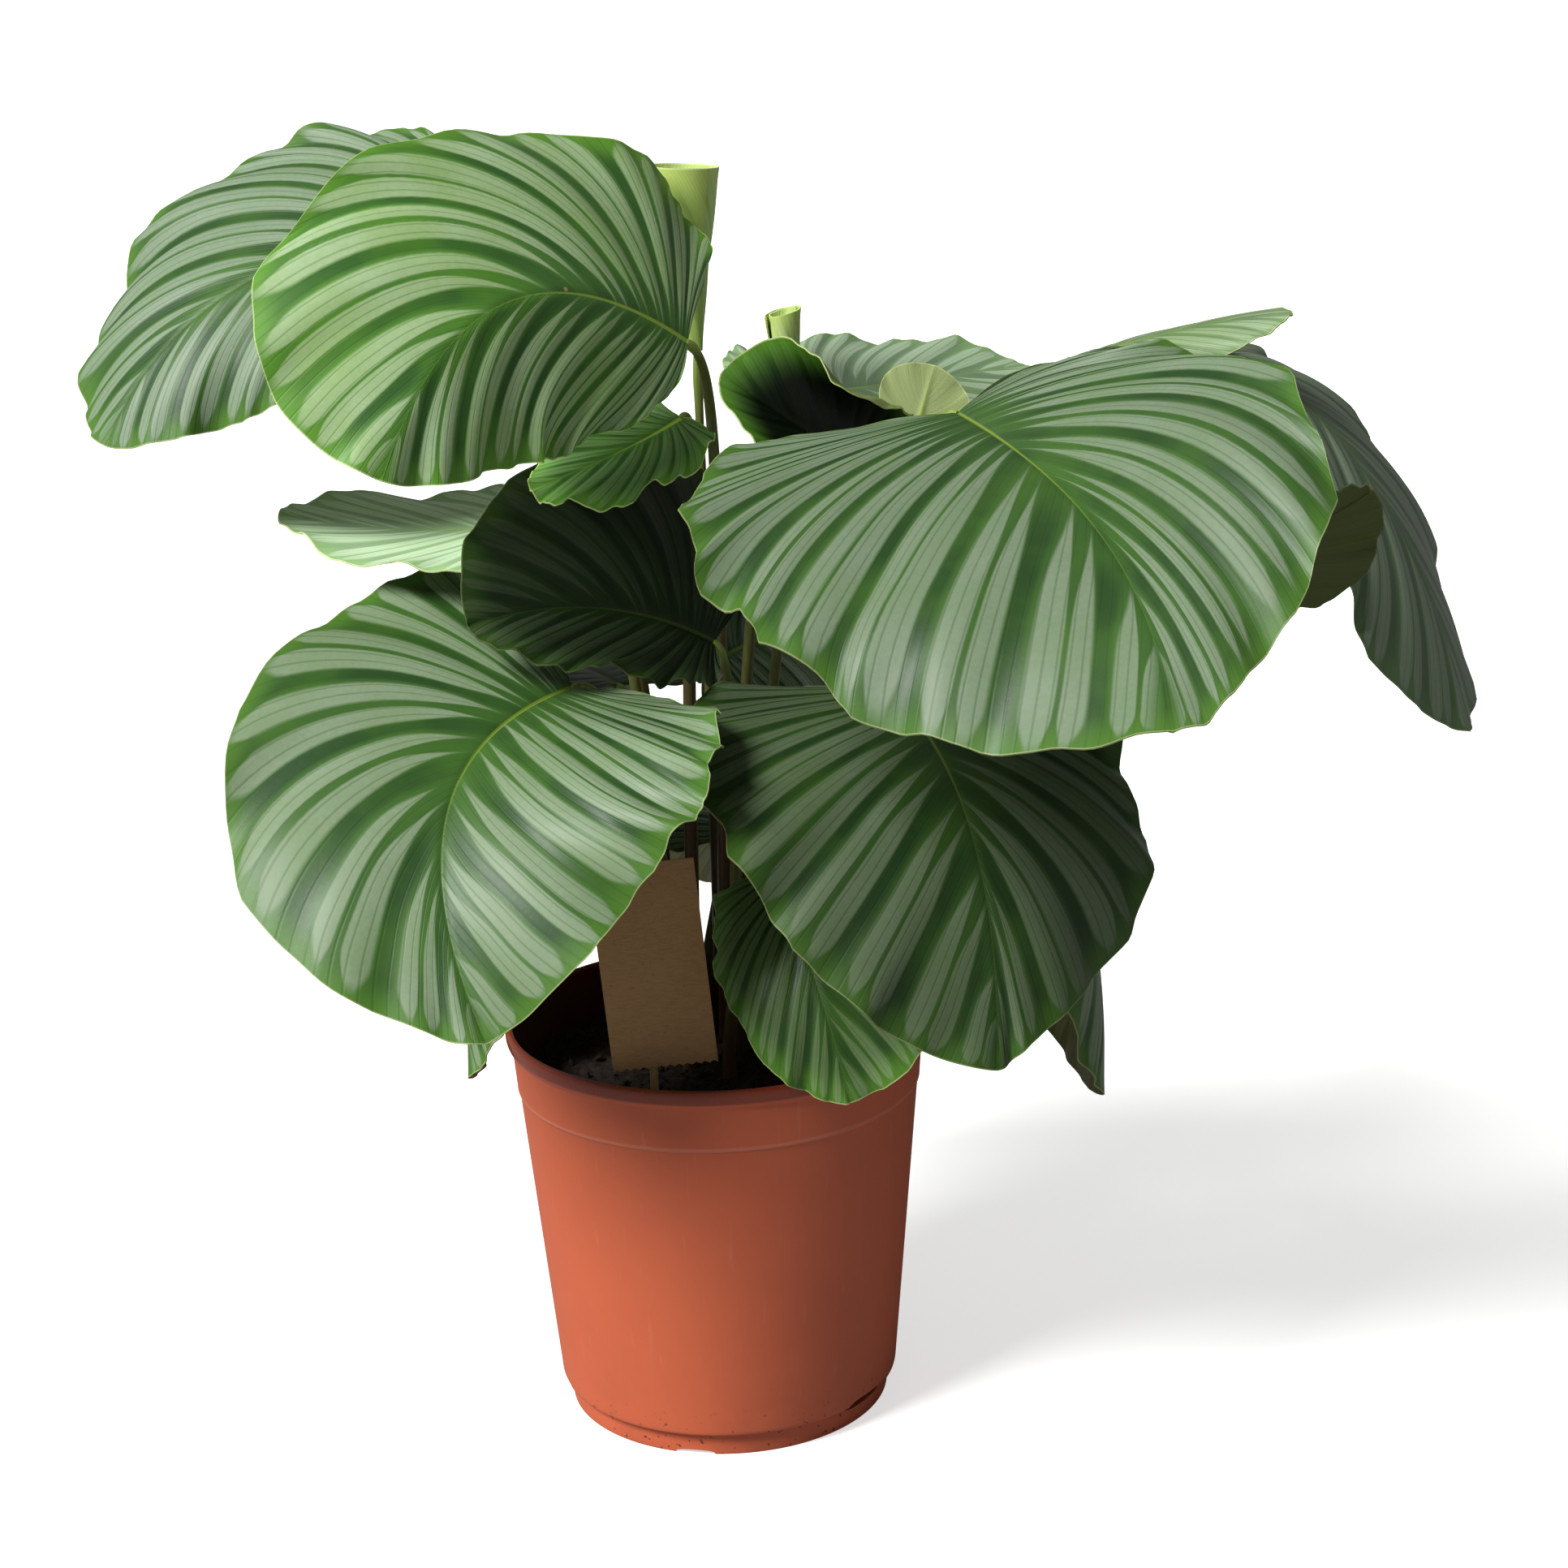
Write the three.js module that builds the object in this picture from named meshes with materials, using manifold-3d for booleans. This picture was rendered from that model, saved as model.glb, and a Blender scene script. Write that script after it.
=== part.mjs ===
// Potted round-leaf calathea in a terracotta-coloured grower's pot, with a bare card tag on a stick.
// Millimetres. The pot stands on z = 0 with its axis on Z. The viewer looks along +Y, so +X is right.
import * as THREE from "three";
import Module from "manifold-3d";

const wasm = await Module();
wasm.setup();

const TAU = Math.PI * 2;
const DEGREE = Math.PI / 180;

// Seat between pieces that only rest against each other
const SEAT = 0.3;

// Pot
const POT_SIDES = 48;
const RIM_RADIUS = 105;
const RIM_HEIGHT = 200.5;
const COLLAR_RADIUS = 99.4;
const COLLAR_HEIGHT = 168.5;
const BODY_FOOT_RADIUS = 85.1;
const FOOT_HEIGHT = 12.6;
const FOOT_RADIUS = 80.4;
const POT_WALL = 1.8;
const FLOOR_UNDER = 3;
const FLOOR_TOP = 5;
const PAD_RADIUS = 16;
const PAD_SLOPE = 2;
const EDGE_ROUND = 1.4;
const RIM_ROLL_HEIGHT = 8;
const RIM_ROLL_WIDTH = 4.8;
const COLLAR_FLARE = 2.6;
const COLLAR_RIDGE = 0.9;
const COLLAR_RIDGE_HEIGHT = 1.2;
const FOOT_NOTCHES = 3;
const FOOT_NOTCH_WIDTH = 20;
const FOOT_NOTCH_HEIGHT = 4;
const FOOT_NOTCH_DEPTH = 7;
const FOOT_NOTCH_START = 0.15;
const DRAIN_SLOT_ANGLES = [327, 190, 78];
const DRAIN_SLOT_WIDTH = 36;
const DRAIN_SLOT_HEIGHT = 7;
const DRAIN_SLOT_DEPTH = 14;
const DRAIN_SLOT_MIDDLE = 11.6;

// Soil
const SOIL_TOP = 173;
const SOIL_MOUND = 4;
const SOIL_LUMP = 1.1;
const SOIL_LUMP_WAVES = [0.31, 0.27, 0.16];
const SOIL_RINGS = 6;
const SOIL_EDGE_GAP = 1.8;

// Stems
const STEM_SIDES = 6;
const STEM_STEPS = 9;
const STEM_ROOT_RADIUS = 3.6;
const STEM_NECK_RADIUS = 1.9;
const STEM_DEPTH = 18;
const STEM_COLLAR = 3;
const STEM_RISE_SHARE = 0.55;
const STEM_REACH_SHARE = 0.2;
const STEM_TO_BLADE = 1.3;
const STEM_TIP_RADIUS = 1.2;
const HOLE_PLAY = 0.36;

// Leaf blades: thickness, the thicker midrib, and the veins' course from the midrib to the edge
const BLADE_THICK = 0.95;
const KEEL_THICK = 2.4;
const KEEL_HALF_WIDTH = 0.1;
const KEEL_TAPER = 0.6;
const MIDRIB_STEPS = 80;
const WIDE_STEPS = [0.1, 0.4, 0.72, 1];
const NARROW_STEPS = [0.12, 0.55, 1];
const FULLNESS_AT_BASE = 0.7;
const FULLNESS_GAIN = 0.55;
const LOBE_REACH = 0.8;
const VEIN_CROWDING = 3.2;
const VEIN_LEAN = 0.22;
const VEIN_OUT = 0.64;
const WAVE_TO_EDGE = 2.2;
const SMALL_WAVE = 0.3;
const SMALL_WAVE_COUNT = 2.3;
const WAVE_SHIFT = 2.1;
const FLATTEST_CURL = 1e-4;

// Tag
const TAG_WIDTH = 50;
const TAG_HEIGHT = 102;
const TAG_THICK = 0.8;
const TAG_TEETH = 12;
const TAG_TOOTH = 1.2;
const TAG_TILT = 4.5;
const TAG_CENTRE = [-27, -75, 253];
const STICK_RADIUS = 2;
const STICK_SIDES = 10;
const STICK_LENGTH = 130;
const STICK_DEPTH = 25;
const STICK_OFF_CENTRE = 2;

const COLOURS = {
  pot: [0xbf5a3a, 0.55],
  soil: [0x1c1613, 0.95],
  leaf: [0x3f7a33, 0.42],
  paleLeaf: [0x8c9a72, 0.5],
  youngLeaf: [0xa9b878, 0.5],
  stem: [0x6f7440, 0.55],
  card: [0xa9835c, 0.85],
  wood: [0xc9a77a, 0.8],
};

// Leaves. base, mid and tip are points on the midrib. face is the way the upper side looks at mid.
// Pairs are for the left and the right half, seen from base to tip with the upper side up:
// half is the widest half width in midrib lengths, fold and curl are degrees that a half is raised
// at the midrib and bent on its way to the edge, and three values are at base, middle and tip.
// lobe and sweep set how far the halves reach back past the base. wave is height, count and start.
// nip is a dent in a half's outline: place, depth and width. rows and wide set how fine the sheet is.
// foot is where the stem leaves the soil. The stem first heads up by rise and sideways by lean, and
// comes to the blade along the midrib over the length reach.
const LEAVES = [
  {
    name: "low_left",
    base: [-61, -30, 378], mid: [-114, -115, 344], tip: [-96, -180, 257], face: [0.1, -0.62, 0.79],
    half: [0.54, 0.52], fold: [22, 5], curl: [[5, -10, -25], [-15, -20, -60]],
    lobe: [0.18, 0.22], sweep: [0, 0.25], wave: [4, 5, 0], nip: [null, [0.88, 0.35, 0.1]],
    foot: [-14, -10], rise: 100, rows: 15, wide: true,
  },
  {
    name: "high_left_front",
    base: [-1, -10, 536], mid: [-77, -90, 567], tip: [-129, -150, 501], face: [0.44, -0.63, 0.65],
    half: [0.33, 0.5], fold: [-20, [17, 3, 3]], curl: [-30, [-20, -20, -35]],
    lobe: [0, 0.24], sweep: [-0.04, -0.06], wave: [4, 5, 0.6], nip: [null, [0.55, 0.14, 0.12]],
    foot: [4, 28], rise: 600, rows: 15, wide: true, reach: 20, lean: [8, 25],
  },
  {
    name: "big_right",
    base: [122, -30, 502.5], mid: [177, -150, 466], tip: [191, -265, 413], face: [0.12, -0.37, 0.92],
    half: [0.4, 0.66], fold: [[30, 53, 30], [0, -8, -30]], curl: [[-20, -35, -70], [-10, -15, -20]],
    lobe: [0.02, 0.15], sweep: [-0.08, 0.09], wave: [4, 5, 0], nip: [[0.8, 0.42, 0.17], [0.6, 0.1, 0.2]],
    foot: [22, -4], rise: 300, rows: 16, wide: true, lean: [40, 25], reach: 25,
  },
  {
    name: "low_right",
    base: [86, -20, 371], mid: [121, -105, 325], tip: [128, -160, 229], face: [0.33, -0.7, 0.62],
    half: [0.46, 0.54], fold: [6, -2], curl: [[-20, -25, -60], -10],
    lobe: [0.18, 0.28], sweep: [0.08, 0], wave: [4, 5, 0], nip: [[0.9, 0.6, 0.12], null],
    foot: [32, -20], rise: 70, rows: 15, wide: true, reach: 15,
  },
  {
    name: "high_left_back",
    base: [-100, 60, 592], mid: [-218, 45, 560], tip: [-282, 25, 489], face: [-0.2, -0.55, 0.8],
    half: [0.33, 0.45], fold: [-5, 5], curl: [[-25, -30, -60], [-10, -20, -60]],
    lobe: [0.15, 0], sweep: [0, 0], wave: [4, 5, 0], nip: [null, [0.8, 0.16, 0.1]],
    foot: [-22, 34], rise: 330, rows: 15, wide: true,
  },
  {
    name: "shaded_inner",
    base: [6, 0, 390], mid: [-49, -15, 412], tip: [-108, -40, 411], face: [0.2, -0.7, 0.6],
    half: [0.34, 0.62], fold: [10, 20], curl: [20, 20],
    lobe: [0.15, 0.15], sweep: [0, 0], wave: [3, 4, 0], nip: [null, null],
    foot: [10, -6], rise: 150, rows: 12, wide: false, reach: 18,
  },
  {
    name: "pale_left",
    base: [-64, 50, 443], mid: [-137, 60, 437], tip: [-208, 60, 447], face: [-0.1, -0.1, 0.98],
    half: [0.42, 0.42], fold: [5, 5], curl: [-10, -10],
    lobe: [0.12, 0.12], sweep: [0, 0], wave: [3, 4, 0], nip: [null, null],
    foot: [-24, 12], rise: 200, rows: 12, wide: false, pale: true,
  },
  {
    name: "ruffled_middle",
    base: [-6, 6, 498], mid: [-34, -16, 487], tip: [-76, -34, 473], face: [0, -0.5, 0.86],
    half: [0.35, 0.35], fold: [0, 0], curl: [-10, 0],
    lobe: [0.12, 0.12], sweep: [0, 0], wave: [5, 4, 1], nip: [null, null],
    foot: [-12, 30], rise: 560, rows: 12, wide: false, reach: 14, lean: [4, 30],
  },
  {
    name: "curled_middle",
    base: [85, 25, 465], mid: [48, 0, 494], tip: [14, -8, 521], face: [0.1, -0.5, 0.85],
    half: [0.45, 0.5], fold: [0, 30], curl: [0, [120, 150, 110]],
    lobe: [0.12, 0.12], sweep: [0, 0], wave: [2, 3, 0], nip: [null, null],
    foot: [31, 7], rise: 200, rows: 12, wide: true, reach: 20, lean: [20, -2],
  },
  {
    name: "pale_back",
    base: [50, 75, 496], mid: [104, 135, 491], tip: [172, 190, 489], face: [0, -0.45, 0.89],
    half: [0.42, 0.46], fold: [0, 0], curl: [-15, -15],
    lobe: [0.12, 0.12], sweep: [0, 0], wave: [3, 4, 0], nip: [null, null],
    foot: [12, 44], rise: 250, rows: 13, wide: false, pale: true,
  },
  {
    name: "small_round",
    base: [107, 36, 485], mid: [111, 42, 498], tip: [116, 48, 512], face: [0, 0.9, 0.3],
    half: [0.75, 0.75], fold: [0, 0], curl: [0, 0],
    lobe: [0.1, 0.1], sweep: [0, 0], wave: [0.6, 3, 0], nip: [null, null],
    foot: [24, 16], rise: 200, rows: 8, wide: false, pale: true, reach: 10, lean: [20, 45],
  },
  {
    name: "far_right",
    base: [250, 102, 507], mid: [328, 71, 452], tip: [381, 45, 321], face: [0.7, -0.26, 0.63],
    half: [0.36, 0.28], fold: [4, 0], curl: [[-20, -20, -40], [-20, -30, -120]],
    lobe: [0.12, 0.12], sweep: [0, 0], wave: [3, 5, 0], nip: [null, null],
    foot: [37, 24], rise: 301, rows: 14, wide: false, lean: [-10, -24], reach: 63,
  },
  {
    name: "slim_right_back",
    base: [188, 76, 509], mid: [244, 76, 523], tip: [290, 58, 530], face: [0, -0.1, 1],
    half: [0.3, 0.24], fold: [0, -10], curl: [-30, -60],
    lobe: [0.12, 0.12], sweep: [0, 0], wave: [1.5, 4, 0], nip: [null, null],
    foot: [32, 36], rise: 350, rows: 10, wide: false, pale: true, reach: 10, lean: [60, 4],
  },
  {
    name: "right_behind",
    base: [204, -25, 424], mid: [263, -45, 441], tip: [308, -60, 467], face: [0.1, 0.6, 0.75],
    half: [0.5, 0.4], fold: [0, 0], curl: [-20, -20],
    lobe: [0.12, 0.12], sweep: [0, 0], wave: [3, 4, 0], nip: [null, null],
    foot: [38, -6], rise: 475, rows: 11, wide: false, lean: [32, 31], reach: 35,
  },
  {
    name: "over_rim",
    base: [31, -62, 295], mid: [48, -107, 258], tip: [63, -122, 200], face: [-0.1, -0.8, 0.6],
    half: [0.5, 0.35], fold: [0, 0], curl: [[0, 0, 60], [-20, -20, -20]],
    lobe: [0.12, 0.12], sweep: [0, 0], wave: [3, 4, 0], nip: [null, null],
    foot: [6, -24], rise: 70, rows: 11, wide: false,
  },
  {
    name: "hanging_left",
    base: [-63, 60, 319], mid: [-114, 50, 261], tip: [-123, -10, 175], face: [-0.65, 0, 0.6],
    half: [0.32, 0.38], fold: [-10, -10], curl: [[-20, -30, -60], [-20, -30, -60]],
    lobe: [0.12, 0.12], sweep: [0, 0], wave: [3, 4, 0], nip: [null, null],
    foot: [-31, 18], rise: 90, rows: 12, wide: false,
  },
  {
    name: "hanging_right",
    base: [121, 50, 328], mid: [183, 50, 258], tip: [193, 10, 146], face: [0.75, 0.2, 0.6],
    half: [0.35, 0.35], fold: [-10, -10], curl: [[-20, -30, -60], [-20, -30, -60]],
    lobe: [0.12, 0.12], sweep: [0, 0], wave: [3, 4, 0], nip: [null, null],
    foot: [44, 14], rise: 90, rows: 12, wide: false,
  },
  {
    name: "back_left",
    base: [-46, 88, 348], mid: [-104, 150, 338], tip: [-146, 205, 256], face: [-0.4, 0.6, 0.7],
    half: [0.45, 0.45], fold: [5, 5], curl: [-20, -20],
    lobe: [0.14, 0.14], sweep: [0, 0], wave: [3, 4, 1], nip: [null, null],
    foot: [-32, 40], rise: 90, rows: 12, wide: false,
  },
  {
    name: "back_right",
    base: [4, 132, 348], mid: [62, 142, 360], tip: [124, 122, 340], face: [0, -0.72, 0.69],
    half: [0.45, 0.45], fold: [5, 5], curl: [-20, -20],
    lobe: [0.14, 0.14], sweep: [0, 0], wave: [3, 4, 2], nip: [null, null],
    foot: [20, 54], rise: 230, rows: 12, wide: false,
  },
  {
    name: "back_low",
    base: [5, 90, 262], mid: [5, 150, 262], tip: [2, 205, 200], face: [0, 0.5, 0.85],
    half: [0.45, 0.45], fold: [5, 5], curl: [-20, -20],
    lobe: [0.14, 0.14], sweep: [0, 0], wave: [3, 4, 3], nip: [null, null],
    foot: [-8, 56], rise: 50, rows: 11, wide: false,
  },
];

// New leaves still rolled up: a spiral sheet that opens towards its mouth. start is the way its
// outer edge faces in degrees, and slant is how far the mouth is tipped.
const ROLLS = [
  {
    name: "tall_roll", base: [1, 70, 520], top: [-3, 78, 608],
    baseRadius: 4.6, topRadius: 20, flare: 1.15, turns: 1.3, start: 200, slant: 5,
    foot: [2, 48], rise: 320,
  },
  {
    name: "short_roll", base: [45, 30, 470], top: [44, 30, 543],
    baseRadius: 4.4, topRadius: 9.5, flare: 1.6, turns: 1.5, start: 20, slant: 2,
    foot: [20, 25], rise: 250,
  },
];
const ROLL_PITCH = 2;
const ROLL_THICK = 0.8;
const ROLL_ROWS = 7;
const ROLL_COLUMNS = 15;
const ROLL_REACH = 60;

const vec = (p) => new THREE.Vector3(...p);
const mix = (a, b, t) => a + (b - a) * t;
const smooth = (t) => t * t * (3 - 2 * t);

// A value along the midrib: one number, or its values at base, middle and tip.
function along(value, a) {
  if (typeof value === "number") return value;
  const t = Math.min(Math.max(a, 0), 1);
  if (t < 0.5) return mix(value[0], value[1], smooth(2 * t));
  return mix(value[1], value[2], smooth(2 * t - 1));
}

// The midrib: a bend through base, mid and tip, with the directions forward, up and to the right.
function midribOf(leaf) {
  const base = vec(leaf.base);
  const tip = vec(leaf.tip);
  const pull = vec(leaf.mid).multiplyScalar(2).addScaledVector(base, -0.5).addScaledVector(tip, -0.5);
  const points = [];
  const forward = [];
  for (let i = 0; i <= MIDRIB_STEPS; i++) {
    const t = i / MIDRIB_STEPS;
    const r = 1 - t;
    points.push(
      new THREE.Vector3()
        .addScaledVector(base, r * r)
        .addScaledVector(pull, 2 * r * t)
        .addScaledVector(tip, t * t),
    );
    forward.push(
      new THREE.Vector3()
        .addScaledVector(base, -r)
        .addScaledVector(pull, r - t)
        .addScaledVector(tip, t)
        .normalize(),
    );
  }
  const reach = [0];
  for (let i = 1; i <= MIDRIB_STEPS; i++) reach.push(reach[i - 1] + points[i].distanceTo(points[i - 1]));
  const length = reach[MIDRIB_STEPS];
  const up = [];
  const square = (v, t) => v.clone().addScaledVector(t, -v.dot(t)).normalize();
  const middle = MIDRIB_STEPS / 2;
  up[middle] = square(vec(leaf.face), forward[middle]);
  for (let i = middle + 1; i <= MIDRIB_STEPS; i++) up[i] = square(up[i - 1], forward[i]);
  for (let i = middle - 1; i >= 0; i--) up[i] = square(up[i + 1], forward[i]);

  function at(a) {
    const inside = Math.min(Math.max(a, 0), 1) * length;
    let i = 1;
    while (i < MIDRIB_STEPS && reach[i] < inside) i++;
    const t = (inside - reach[i - 1]) / (reach[i] - reach[i - 1]);
    const f = forward[i - 1].clone().lerp(forward[i], t).normalize();
    const u = square(up[i - 1].clone().lerp(up[i], t), f);
    const p = points[i - 1].clone().lerp(points[i], t);
    if (a < 0) p.addScaledVector(f, a * length);
    return { point: p, forward: f, up: u, right: f.clone().cross(u) };
  }
  return { at, length };
}

// Where the point s (0 midrib, 1 edge) of vein u (0 base, 1 tip) lies on the flat leaf.
function flatPoint(leaf, side, u, s) {
  const turn = Math.PI * u;
  const sine = Math.max(Math.sin(turn), 0);
  const fullness = FULLNESS_AT_BASE + FULLNESS_GAIN * u;
  let edgeAcross = leaf.half[side] * sine ** fullness;
  const nip = leaf.nip[side];
  if (nip) edgeAcross *= 1 - nip[1] * Math.exp(-(((u - nip[0]) / nip[2]) ** 2));
  const lobes = LOBE_REACH * leaf.lobe[side] * sine * (1 + Math.cos(turn));
  const edgeAlong = 0.5 - 0.5 * Math.cos(turn) - lobes - leaf.sweep[side] * edgeAcross;
  const root = u ** VEIN_CROWDING;
  const r = 1 - s;
  return {
    along: r * r * root + 2 * s * r * mix(root, edgeAlong, VEIN_LEAN) + s * s * edgeAlong,
    across: (2 * s * r * VEIN_OUT + s * s) * edgeAcross,
  };
}

// The same point on the grown leaf, with the direction that its upper side looks.
function bladePoint(leaf, midrib, side, u, s) {
  const flat = flatPoint(leaf, side, u, s);
  const frame = midrib.at(flat.along);
  const fold = along(leaf.fold[side], flat.along) * DEGREE;
  let curl = along(leaf.curl[side], flat.along) * DEGREE;
  if (Math.abs(curl) < FLATTEST_CURL) curl = FLATTEST_CURL;
  const half = leaf.half[side];
  const angle = fold + (curl * flat.across) / half;
  const radius = (half * midrib.length) / curl;
  const out = radius * (Math.sin(angle) - Math.sin(fold));
  const rise = radius * (Math.cos(fold) - Math.cos(angle));
  const hand = side === 0 ? -1 : 1;
  const up = frame.up
    .clone()
    .multiplyScalar(Math.cos(angle))
    .addScaledVector(frame.right, -hand * Math.sin(angle));
  const [height, count, start] = leaf.wave;
  const phase = TAU * count * u + start;
  const large = Math.sin(phase + WAVE_SHIFT * side);
  const small = SMALL_WAVE * Math.sin(SMALL_WAVE_COUNT * phase + side);
  const swell = s ** WAVE_TO_EDGE * Math.sqrt(Math.max(Math.sin(Math.PI * u), 0));
  const wave = height * swell * (large + small);
  const point = frame.point
    .addScaledVector(frame.right, hand * out)
    .addScaledVector(frame.up, rise)
    .addScaledVector(up, wave);
  return { point, up };
}

// A closed body from rows of points on two faces, alike in their triangles. Where an end of the
// rows is a single point, both faces come together there.
function sheetBody(upper, lower) {
  const positions = [];
  const index = [];
  const number = (rows) =>
    rows.map((row) =>
      row.map((p) => {
        positions.push(p.x, p.y, p.z);
        return positions.length / 3 - 1;
      }),
    );
  const top = number(upper);
  const under = number(lower);
  const last = top.length - 1;
  const triangle = (a, b, c) => index.push(a, b, c);
  for (let i = 0; i < last; i++) {
    const near = top[i];
    const far = top[i + 1];
    const nearUnder = under[i];
    const farUnder = under[i + 1];
    const width = Math.max(near.length, far.length);
    for (let j = 0; j + 1 < width; j++) {
      if (near.length > 1) {
        const k = far.length > 1 ? j + 1 : 0;
        triangle(near[j], near[j + 1], far[k]);
        triangle(nearUnder[j], farUnder[k], nearUnder[j + 1]);
      }
      if (far.length > 1) {
        const k = near.length > 1 ? j : 0;
        triangle(near[k], far[j + 1], far[j]);
        triangle(nearUnder[k], farUnder[j], farUnder[j + 1]);
      }
    }
    const nearEnd = near.length - 1;
    const farEnd = far.length - 1;
    triangle(near[0], far[0], nearUnder[0]);
    triangle(nearUnder[0], far[0], farUnder[0]);
    triangle(near[nearEnd], nearUnder[nearEnd], far[farEnd]);
    triangle(nearUnder[nearEnd], farUnder[farEnd], far[farEnd]);
  }
  for (const [i, turned] of [[0, false], [last, true]]) {
    for (let j = 0; j + 1 < top[i].length; j++) {
      const a = turned ? j + 1 : j;
      const b = turned ? j : j + 1;
      triangle(top[i][a], under[i][a], top[i][b]);
      triangle(top[i][b], under[i][a], under[i][b]);
    }
  }
  const geometry = new THREE.BufferGeometry();
  geometry.setAttribute("position", new THREE.Float32BufferAttribute(positions, 3));
  geometry.setIndex(index);
  return geometry;
}

// A blade: rows of points along its veins, the underside below them by the thickness.
function bladeGeometry(leaf, midrib) {
  const steps = leaf.wide ? WIDE_STEPS : NARROW_STEPS;
  const columns = [
    ...steps.map((s) => [0, s]).reverse(),
    [0, 0],
    ...steps.map((s) => [1, s]),
  ];
  const upper = [];
  const lower = [];
  for (let i = 0; i <= leaf.rows; i++) {
    const u = i / leaf.rows;
    const pole = i === 0 || i === leaf.rows;
    const rowUpper = [];
    const rowLower = [];
    for (const [side, s] of pole ? [[0, 0]] : columns) {
      const { point, up } = bladePoint(leaf, midrib, side, u, s);
      const keel = Math.max(0, 1 - s / KEEL_HALF_WIDTH) * (1 - KEEL_TAPER * u);
      const thick = mix(BLADE_THICK, KEEL_THICK, keel);
      rowUpper.push(point);
      rowLower.push(point.clone().addScaledVector(up, -thick));
    }
    upper.push(rowUpper);
    lower.push(rowLower);
  }
  return sheetBody(upper, lower);
}

// A rolled leaf: each row is a spiral about the axis, wider towards the mouth.
function rollGeometry(roll) {
  const upper = [];
  const lower = [];
  const base = vec(roll.base);
  const top = vec(roll.top);
  for (let i = 0; i <= ROLL_ROWS; i++) {
    const h = i / ROLL_ROWS;
    const radius = mix(roll.baseRadius, roll.topRadius, h ** roll.flare);
    const rowUpper = [];
    const rowLower = [];
    for (let j = 0; j <= ROLL_COLUMNS; j++) {
      const w = j / ROLL_COLUMNS;
      const angle = roll.start * DEGREE + TAU * roll.turns * w;
      const r = radius - ROLL_PITCH * roll.turns * (1 - w);
      const centre = base.clone().lerp(top, h);
      centre.z += roll.slant * h * h * Math.cos(angle - roll.start * DEGREE);
      const outward = new THREE.Vector3(Math.cos(angle), Math.sin(angle), 0);
      rowUpper.push(centre.clone().addScaledVector(outward, r));
      rowLower.push(centre.clone().addScaledVector(outward, r - ROLL_THICK));
    }
    upper.push(rowUpper);
    lower.push(rowLower);
  }
  return sheetBody(upper, lower);
}

// A closed rod with a flat end at each end of a path, its radius given along the path.
function rodGeometry(path, radiusAt, sides) {
  const positions = [];
  const index = [];
  let across = new THREE.Vector3(1, 0, 0);
  const last = path.length - 1;
  path.forEach((p, i) => {
    const forward = path[Math.min(i + 1, last)].clone().sub(path[Math.max(i - 1, 0)]).normalize();
    across = across.clone().addScaledVector(forward, -across.dot(forward)).normalize();
    const other = forward.clone().cross(across);
    for (let j = 0; j < sides; j++) {
      const angle = (TAU * j) / sides;
      const v = p
        .clone()
        .addScaledVector(across, radiusAt(i / last) * Math.cos(angle))
        .addScaledVector(other, radiusAt(i / last) * Math.sin(angle));
      positions.push(v.x, v.y, v.z);
    }
  });
  for (let i = 0; i < last; i++) {
    for (let j = 0; j < sides; j++) {
      const k = (j + 1) % sides;
      const [a, b] = [i * sides + j, i * sides + k];
      index.push(a, b, b + sides, a, b + sides, a + sides);
    }
  }
  for (let j = 1; j + 1 < sides; j++) {
    index.push(0, j + 1, j);
    index.push(last * sides, last * sides + j, last * sides + j + 1);
  }
  const geometry = new THREE.BufferGeometry();
  geometry.setAttribute("position", new THREE.Float32BufferAttribute(positions, 3));
  geometry.setIndex(index);
  return geometry;
}

// A stem: upright in its hole in the soil, then a bend that ends in the direction of the midrib.
function stemPath(foot, rise, lean, end, forward, reach) {
  const bottom = new THREE.Vector3(foot[0], foot[1], SOIL_TOP - STEM_DEPTH);
  const neck = new THREE.Vector3(foot[0], foot[1], SOIL_TOP + SOIL_MOUND + STEM_COLLAR);
  const one = neck.clone().add(new THREE.Vector3(lean[0], lean[1], rise * STEM_RISE_SHARE));
  const two = end.clone().addScaledVector(forward, -reach);
  const bend = new THREE.CubicBezierCurve3(neck, one, two, end);
  return [bottom, ...bend.getSpacedPoints(STEM_STEPS)];
}

// The radius of a stem from its root to its neck, drawn in at the blade
function stemRadius(t) {
  if (t === 1) return STEM_TIP_RADIUS;
  return mix(STEM_ROOT_RADIUS, STEM_NECK_RADIUS, t);
}

// A mesh as a body that can be joined and cut
function solid(geometry) {
  const vertProperties = new Float32Array(geometry.attributes.position.array);
  const triVerts = new Uint32Array(geometry.index.array);
  const mesh = new wasm.Mesh({ numProp: 3, vertProperties, triVerts });
  mesh.merge();
  return new wasm.Manifold(mesh);
}

// A body as a mesh again
function geometryOf(body) {
  const made = body.getMesh();
  const positions = new Float32Array(made.numVert * 3);
  for (let i = 0; i < made.numVert; i++) {
    positions.set(made.vertProperties.subarray(i * made.numProp, i * made.numProp + 3), i * 3);
  }
  const geometry = new THREE.BufferGeometry();
  geometry.setAttribute("position", new THREE.BufferAttribute(positions, 3));
  geometry.setIndex(new THREE.BufferAttribute(new Uint32Array(made.triVerts), 1));
  return geometry;
}

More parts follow.
